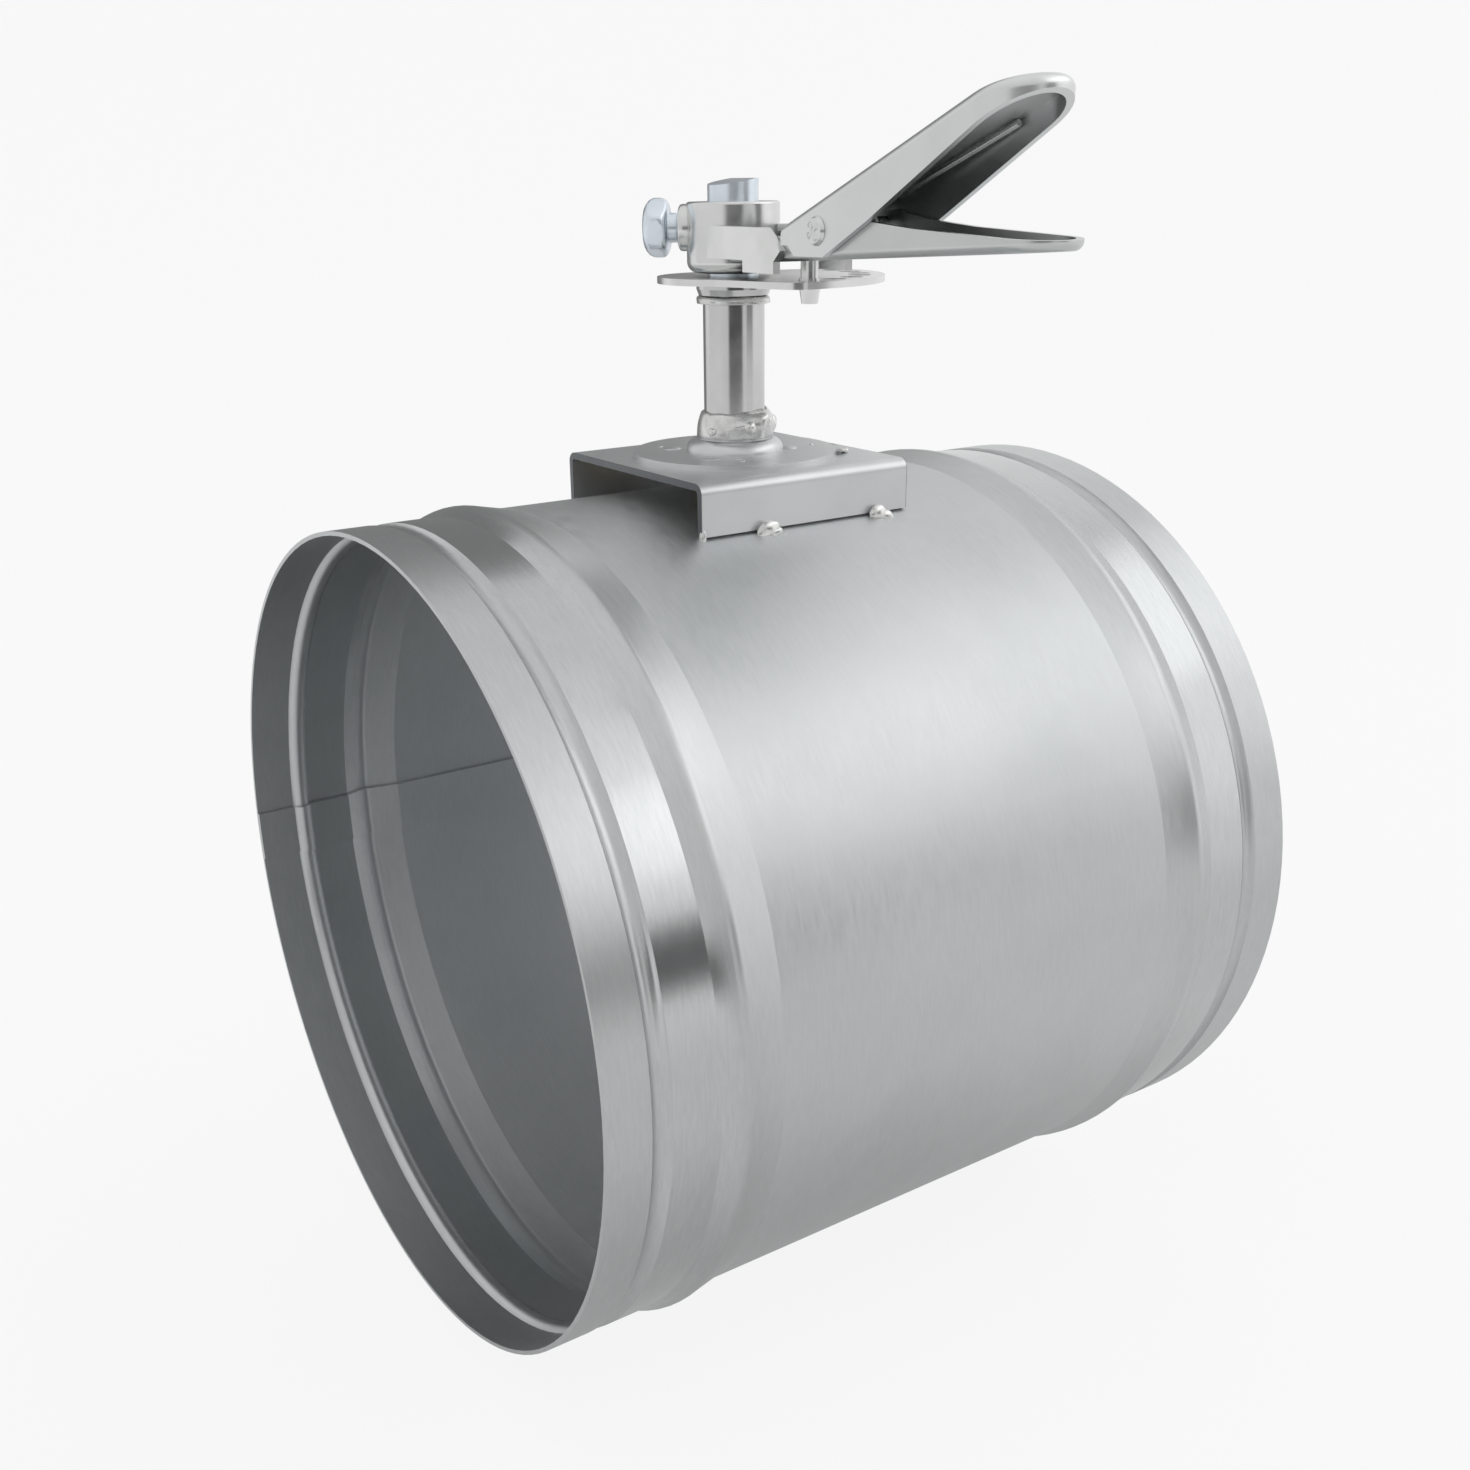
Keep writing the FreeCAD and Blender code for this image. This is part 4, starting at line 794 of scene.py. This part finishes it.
class DAMPER_OT_bracket(bpy.types.Operator):
    """Finish the saddle bracket and the flanged washer."""

    bl_idname = "damper.bracket"
    bl_label = "Bracket and washer"

    def execute(self, context):
        dress("bracket_plate", "saddle_bracket")
        dress("satin_plate", "flange_washer")
        return {"FINISHED"}


class DAMPER_OT_post(bpy.types.Operator):
    """Finish the stand-off tube, its collar and the index plate."""

    bl_idname = "damper.post"
    bl_label = "Post and index plate"

    def execute(self, context):
        dress("tube_zinc", "standoff_tube", "tube_collar")
        dress("satin_zinc", "index_plate")
        return {"FINISHED"}


class DAMPER_OT_hub(bpy.types.Operator):
    """Finish the hub, the locking pin and the spindle, and turn the boss and the set bolt."""

    bl_idname = "damper.hub"
    bl_label = "Hub and spindle"

    def execute(self, context):
        dress("satin_zinc", "hub", "locking_pin")
        dress("blue_zinc", "shaft")
        low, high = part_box("hub_nut")
        foot = Vector((SPINDLE.x, 0, (low.z + high.z) / 2))
        new_piece("hub_boss", *turned_ring(BOSS_SECTION, foot, 0), "spindle_body", "zinc_casting",
                  finish_of("satin_zinc"), ("hub_nut",))
        new_piece("set_bolt_rounded", *turned_ring(BOLT_SECTION, foot, BOLT_FLAT), "spindle_body",
                  "bright_zinc", finish_of("blue_zinc"), ("set_bolt",))
        return {"FINISHED"}


class DAMPER_OT_handles(bpy.types.Operator):
    """Finish the handle, the lever and the rivet, and make the spring."""

    bl_idname = "damper.handles"
    bl_label = "Handle and lever"

    def execute(self, context):
        dress("pressed_zinc", "upper_lever", "pivot_rivet")
        dress("handle_zinc", "lower_handle")
        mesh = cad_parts["torsion_spring"].data.copy()
        mesh.name = "spring_coil"
        merge_points(mesh)
        mesh.materials.clear()
        mesh.materials.append(finish_of("spring_wire"))
        coil = bpy.data.objects.new("spring_coil", mesh)
        context.scene.collection.objects.link(coil)
        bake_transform(coil)
        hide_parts("torsion_spring")
        return {"FINISHED"}


class DAMPER_OT_welds(bpy.types.Operator):
    """Make the lumpy ring welds and the tacks."""

    bl_idname = "damper.welds"
    bl_label = "Welds"

    def execute(self, context):
        welds = context.scene.damper_welds
        metal = finish_of("weld_bead")
        tube_low, tube_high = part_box("standoff_tube")
        tube = (tube_high.x - tube_low.x) / 2
        for name, lump, crown in RING_WELDS:
            low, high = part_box(name)
            section = bead_section(tube, (high.x - low.x) / 2, high.z - low.z, crown)
            points, faces = lumpy_ring(tube, section, (SPINDLE.x, 0, low.z), lump * welds.lump,
                                       welds.seed + len(name))
            new_piece(name + "_bead", points, faces, "duct_body", "weld_metal", metal, (name,))
        for number in range(1, 5):
            name = "bracket_tack_%d" % number
            low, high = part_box(name)
            middle = (low + high) / 2
            out = math.copysign(1, middle.y)
            beads = [drop(middle + Vector((x, y * out, z)) * MM, np.array(axes) * MM, TACK_LUMP,
                          welds.seed + number + seed) for (x, y, z), axes, seed in TACK_DROPS]
            new_piece(name + "_bead", *joined(beads), "duct_body", "weld_metal", metal, (name,))
        low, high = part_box("flange_tack")
        middle = (low + high) / 2
        place, axes = (Vector(offset) * MM for offset in FLANGE_DROP)
        beads = [drop(middle, (high - low) * FLANGE_SHARE, FLANGE_LUMP, welds.seed + 3),
                 drop(middle + place, axes, DROP_LUMP, welds.seed + 4)]
        new_piece("flange_tack_bead", *joined(beads), "duct_body", "weld_metal", metal,
                  ("flange_tack",))
        return {"FINISHED"}


class DAMPER_OT_spatter(bpy.types.Operator):
    """Put weld drops on the tube's foot, bracket and washer, and dimples on the washer."""

    bl_idname = "damper.spatter"
    bl_label = "Spatter and dimples"

    def execute(self, context):
        welds = context.scene.damper_welds
        metal = finish_of("weld_bead")
        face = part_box("flange_tack")[1].z
        low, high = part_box("saddle_bracket")
        tube_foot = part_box("tube_foot_weld")[0].z
        spots = [(Vector((SPINDLE.x + x * MM, y * MM, tube_foot + z * MM)), axes)
                 for (x, y, z), axes in FOOT_DROPS]
        for corner, ((x, y, z), axes) in zip((low, high), CORNER_DROPS):
            place = Vector((corner.x + x * MM, corner.y + y * MM, low.z + z * MM))
            spots.append((place, axes))
        draw = np.random.default_rng(welds.seed)
        for _ in range(LOOSE_DROPS):
            turn, reach = draw.uniform(0, TWO_PI), draw.uniform(*LOOSE_REACH)
            place = Vector((SPINDLE.x + reach * WASHER_RADIUS * math.cos(turn),
                            reach * WASHER_RADIUS * math.sin(turn), face))
            spots.append((place, LOOSE_RADII))
        beads = [drop(place, np.array(axes) * welds.spatter_radius, DROP_LUMP, welds.seed + number)
                 for number, (place, axes) in enumerate(spots)]
        new_piece("weld_spatter", *joined(beads), "duct_body", "weld_metal", metal)
        dimples = [drop((x * MM, y * MM, face), np.array(DIMPLE_RADII) * MM, lump=0, seed=1)
                   for x, y in DIMPLE_PLACES]
        new_piece("washer_dimples", *joined(dimples), "duct_body", "galvanised_plate",
                  finish_of("satin_plate"))
        return {"FINISHED"}


class DAMPER_OT_stakes(bpy.types.Operator):
    """Spread the rivet's ends with punch marks."""

    bl_idname = "damper.stakes"
    bl_label = "Staked rivet ends"

    def execute(self, context):
        metal = finish_of("pressed_zinc")
        low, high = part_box("pivot_rivet")
        middle = (low + high) / 2
        radius = STAKE_SHARE * (high.z - low.z) / 2
        for side, name, end in ((-1, "left", low.x), (1, "right", high.x)):
            points, faces = staked_end(radius, context.scene.damper_welds.stake_depth)
            points = np.stack((end + side * (points[:, 2] - STAKE_RISE),
                               middle.y + side * points[:, 0],
                               middle.z + points[:, 1]), axis=-1)
            new_piece("rivet_end_" + name, points, faces, "spindle_body", "bright_zinc", metal)
        return {"FINISHED"}


class DAMPER_OT_stage(bpy.types.Operator):
    """Set up the camera, the pale paper, the studio walls and the lamp."""

    bl_idname = "damper.stage"
    bl_label = "Camera, paper, walls and lamp"

    def execute(self, context):
        stage = context.scene.damper_stage
        add_camera(context.scene)
        add_paper(stage.paper_tone)
        add_room(stage)
        add_lamp(stage.key_power)
        context.scene.view_settings.view_transform = "Standard"
        return {"FINISHED"}


# Stage

def add_camera(scene):
    """Camera at the photograph's place: its turn, height, roll and off-centre frame."""
    azimuth = math.radians(PHOTO_AZIMUTH)
    elevation = math.radians(PHOTO_ELEVATION)
    roll = math.radians(PHOTO_ROLL)
    back = Vector((math.sin(azimuth) * math.cos(elevation),
                   -math.cos(azimuth) * math.cos(elevation), math.sin(elevation)))
    right = (-back).cross(Vector((0, 0, 1))).normalized()
    up = right.cross(-back)
    tilted_right = right * math.cos(roll) + up * math.sin(roll)
    tilted_up = up * math.cos(roll) - right * math.sin(roll)
    lens = bpy.data.cameras.new("photo_camera")
    lens.sensor_width = SENSOR
    lens.lens = SENSOR * PHOTO_FOCAL / PHOTO_SIZE
    lens.shift_x = (PHOTO_SIZE / 2 - PHOTO_CENTRE_X) / PHOTO_SIZE
    lens.shift_y = (PHOTO_CENTRE_Y - PHOTO_SIZE / 2) / PHOTO_SIZE
    lens.clip_start = 0.01
    camera = bpy.data.objects.new("photo_camera", lens)
    scene.collection.objects.link(camera)
    turn = Matrix((tilted_right, tilted_up, back)).transposed().to_4x4()
    camera.matrix_world = Matrix.Translation(PHOTO_PLACE) @ turn
    scene.camera = camera


def add_mesh(name, points, faces):
    """Smooth mesh object that belongs to the stage."""
    mesh = bpy.data.meshes.new(name)
    mesh.from_pydata(points.reshape(-1, 3).tolist(), [], faces.tolist())
    mesh.polygons.foreach_set("use_smooth", np.ones(len(mesh.polygons), dtype=bool))
    item = bpy.data.objects.new(name, mesh)
    bpy.context.scene.collection.objects.link(item)
    return item


def add_paper(tone):
    """Pale paper: a floor that turns up behind the object.

    Height = low + rise * ((run - start) / length)^power past the bend's start, and low before it.
    """
    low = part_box("shaft")[0].z - PAPER_GAP
    run = np.linspace(*PAPER_RUN, PAPER_STEPS[0])
    bend = np.clip((run - BEND_START) / BEND_LENGTH, 0, 1)
    rise = BEND_RISE * bend**BEND_POWER
    side = np.linspace(-PAPER_HALF, PAPER_HALF, PAPER_STEPS[1])
    along, across = np.meshgrid(run, side, indexing="ij")
    points = np.stack((SPINDLE.x + along * PAPER_BACK.x + across * PAPER_BACK.y,
                       along * PAPER_BACK.y - across * PAPER_BACK.x,
                       low + np.repeat(rise[:, None], len(side), axis=1)), axis=-1)
    paper = add_mesh("paper", points, grid_faces(len(run), len(side), False, False)[:, ::-1])
    paper.data.materials.append(paper_material(tone, low))


def paper_material(tone, low):
    """Paper that the camera sees in its own tone, and that glows for the metal by distance as a
    painted reflection, with a painted shadow near the object.
    """
    material = bpy.data.materials.new("paper")
    material.use_nodes = True
    tree = material.node_tree
    tree.nodes.clear()
    output = tree.nodes.new("ShaderNodeOutputMaterial")
    matt = tree.nodes.new("ShaderNodeBsdfDiffuse")
    matt.inputs["Color"].default_value = PAPER_MATT
    ray = tree.nodes.new("ShaderNodeLightPath")
    place = tree.nodes.new("ShaderNodeTexCoord")
    shift = maths_node(tree, "VectorMath", "SUBTRACT", place.outputs["Object"],
                       (SPINDLE.x, 0, low)).outputs["Vector"]
    distance = maths_node(tree, "VectorMath", "LENGTH", shift).outputs["Value"]
    # Painted shadow: the glow that the metal mirrors is darker near the object
    mirrored = ramp_between(tree, distance, *NEAR_SHADOW_RAMP, *NEAR_SHADOW_TONES)
    mirrored = blend(tree, ramp_between(tree, distance, *FAR_RAMP, 0, 1), mirrored, FAR_TONE)
    # Painted shade in a sector at the back left
    away = ramp_between(tree, distance, *SHADE_RAMP, 0, 1)
    facing = toward(tree, levelled(tree, shift), SHADE_BEARING, 0)
    back_left = ramp_between(tree, facing, *SHADE_SECTOR, 0, 1)
    mirrored = blend(tree, product(tree, back_left, away), mirrored, SHADE_TONE)
    # Emission that the metal mirrors: painted reflection of the paper, with its painted shadow
    painted_reflection = tree.nodes.new("ShaderNodeEmission")
    tree.links.new(mirrored, painted_reflection.inputs["Strength"])
    glow = tree.nodes.new("ShaderNodeEmission")
    glow.inputs["Color"].default_value = (tone, tone, tone, 1)
    for_metal = mixed_shader(tree, ray.outputs["Is Glossy Ray"], matt.outputs["BSDF"],
                             painted_reflection.outputs["Emission"])
    seen = product(tree, ray.outputs["Is Camera Ray"], PAPER_SHARE)
    whole = mixed_shader(tree, seen, for_metal, glow.outputs["Emission"])
    tree.links.new(whole, output.inputs["Surface"])
    return material


def add_room(stage):
    """Studio walls: grey, with a roof, a glow round the lamp, dark patches and a left wall."""
    world = bpy.data.worlds.new("studio")
    bpy.context.scene.world = world
    world.use_nodes = True
    tree = world.node_tree
    tree.nodes.clear()
    output = tree.nodes.new("ShaderNodeOutputWorld")
    place = tree.nodes.new("ShaderNodeTexCoord")
    ray = place.outputs["Generated"]
    split = tree.nodes.new("ShaderNodeSeparateXYZ")
    tree.links.new(ray, split.inputs["Vector"])
    height = split.outputs["Z"]
    roof = ramp_between(tree, height, *ROOF_RAMP, 0, 1)
    radiance = blend(tree, roof, stage.wall_tone, stage.roof_tone)
    halo = ramp_between(tree, toward(tree, ray, *HALO_PLACE), *HALO_RAMP, 0, 1)
    radiance = blend(tree, halo, radiance, stage.halo_tone)
    around = levelled(tree, ray)
    for bearing, edge, full, foot, head in DARK_PATCHES:
        rising = ramp_between(tree, height, foot - PATCH_EDGE, foot + PATCH_EDGE / 2, 0, 1)
        falling = ramp_between(tree, height, head - PATCH_EDGE, head + PATCH_EDGE, 1, 0)
        across = ramp_between(tree, toward(tree, around, bearing, 0), edge, full, 0, 1)
        dark = product(tree, across, product(tree, rising, falling))
        radiance = blend(tree, dark, radiance, stage.dark_tone)
    left = ramp_between(tree, toward(tree, ray, *LEFT_PLACE), *LEFT_RAMP, 0, 1)
    radiance = blend(tree, left, radiance, stage.side_tone)
    light_sky = tree.nodes.new("ShaderNodeBackground")
    light_sky.inputs["Color"].default_value = (1, 1, 1, 1)
    tree.links.new(radiance, light_sky.inputs["Strength"])
    seen_sky = tree.nodes.new("ShaderNodeBackground")
    seen_sky.inputs["Color"].default_value = (SKY_SHARE * stage.paper_tone,) * 3 + (1,)
    path = tree.nodes.new("ShaderNodeLightPath")
    sky = mixed_shader(tree, path.outputs["Is Camera Ray"], light_sky.outputs["Background"],
                       seen_sky.outputs["Background"])
    tree.links.new(sky, output.inputs["Surface"])


def add_lamp(power):
    """Long soft lamp at the right front, facing the spindle."""
    away = Vector(direction(*LAMP_PLACE))
    light = bpy.data.lights.new("key_lamp", "AREA")
    light.shape = "RECTANGLE"
    light.size, light.size_y = LAMP_SIZE
    light.energy = power
    lamp = bpy.data.objects.new("key_lamp", light)
    bpy.context.scene.collection.objects.link(lamp)
    lamp.location = SPINDLE + LAMP_DISTANCE * away
    lamp.rotation_euler = (-away).to_track_quat("-Z", "Y").to_euler()


# Panel and registration

class DAMPER_PT_panel(bpy.types.Panel):
    """Lists the pieces of the damper."""

    bl_idname = "DAMPER_PT_panel"
    bl_label = "Damper"
    bl_space_type = "VIEW_3D"
    bl_region_type = "UI"
    bl_category = "Damper"

    def draw(self, context):
        for step in STEPS:
            self.layout.operator(step.bl_idname)
        for settings in ("damper_finish", "damper_welds", "damper_stage"):
            group = getattr(context.scene, settings)
            for name in group.__annotations__:
                self.layout.prop(group, name)


STEPS = (DAMPER_OT_stage, DAMPER_OT_duct, DAMPER_OT_blade, DAMPER_OT_bracket, DAMPER_OT_post,
         DAMPER_OT_hub, DAMPER_OT_handles, DAMPER_OT_welds, DAMPER_OT_spatter, DAMPER_OT_stakes)
SETTINGS = {"damper_finish": DamperFinish, "damper_welds": DamperWelds, "damper_stage": DamperStage}


def register():
    """Register the settings, the operators and the panel."""
    for kind in (*SETTINGS.values(), *STEPS, DAMPER_PT_panel):
        bpy.utils.register_class(kind)
    for name, kind in SETTINGS.items():
        setattr(bpy.types.Scene, name, bpy.props.PointerProperty(type=kind))


def unregister():
    """Take the settings, the operators and the panel out again."""
    for name in SETTINGS:
        delattr(bpy.types.Scene, name)
    for kind in (DAMPER_PT_panel, *reversed(STEPS), *reversed(SETTINGS.values())):
        bpy.utils.unregister_class(kind)


def main():
    """Make every piece in order."""
    register()
    for step in STEPS:
        group, name = step.bl_idname.split(".")
        getattr(getattr(bpy.ops, group), name)()


if __name__ == "__main__":
    main()
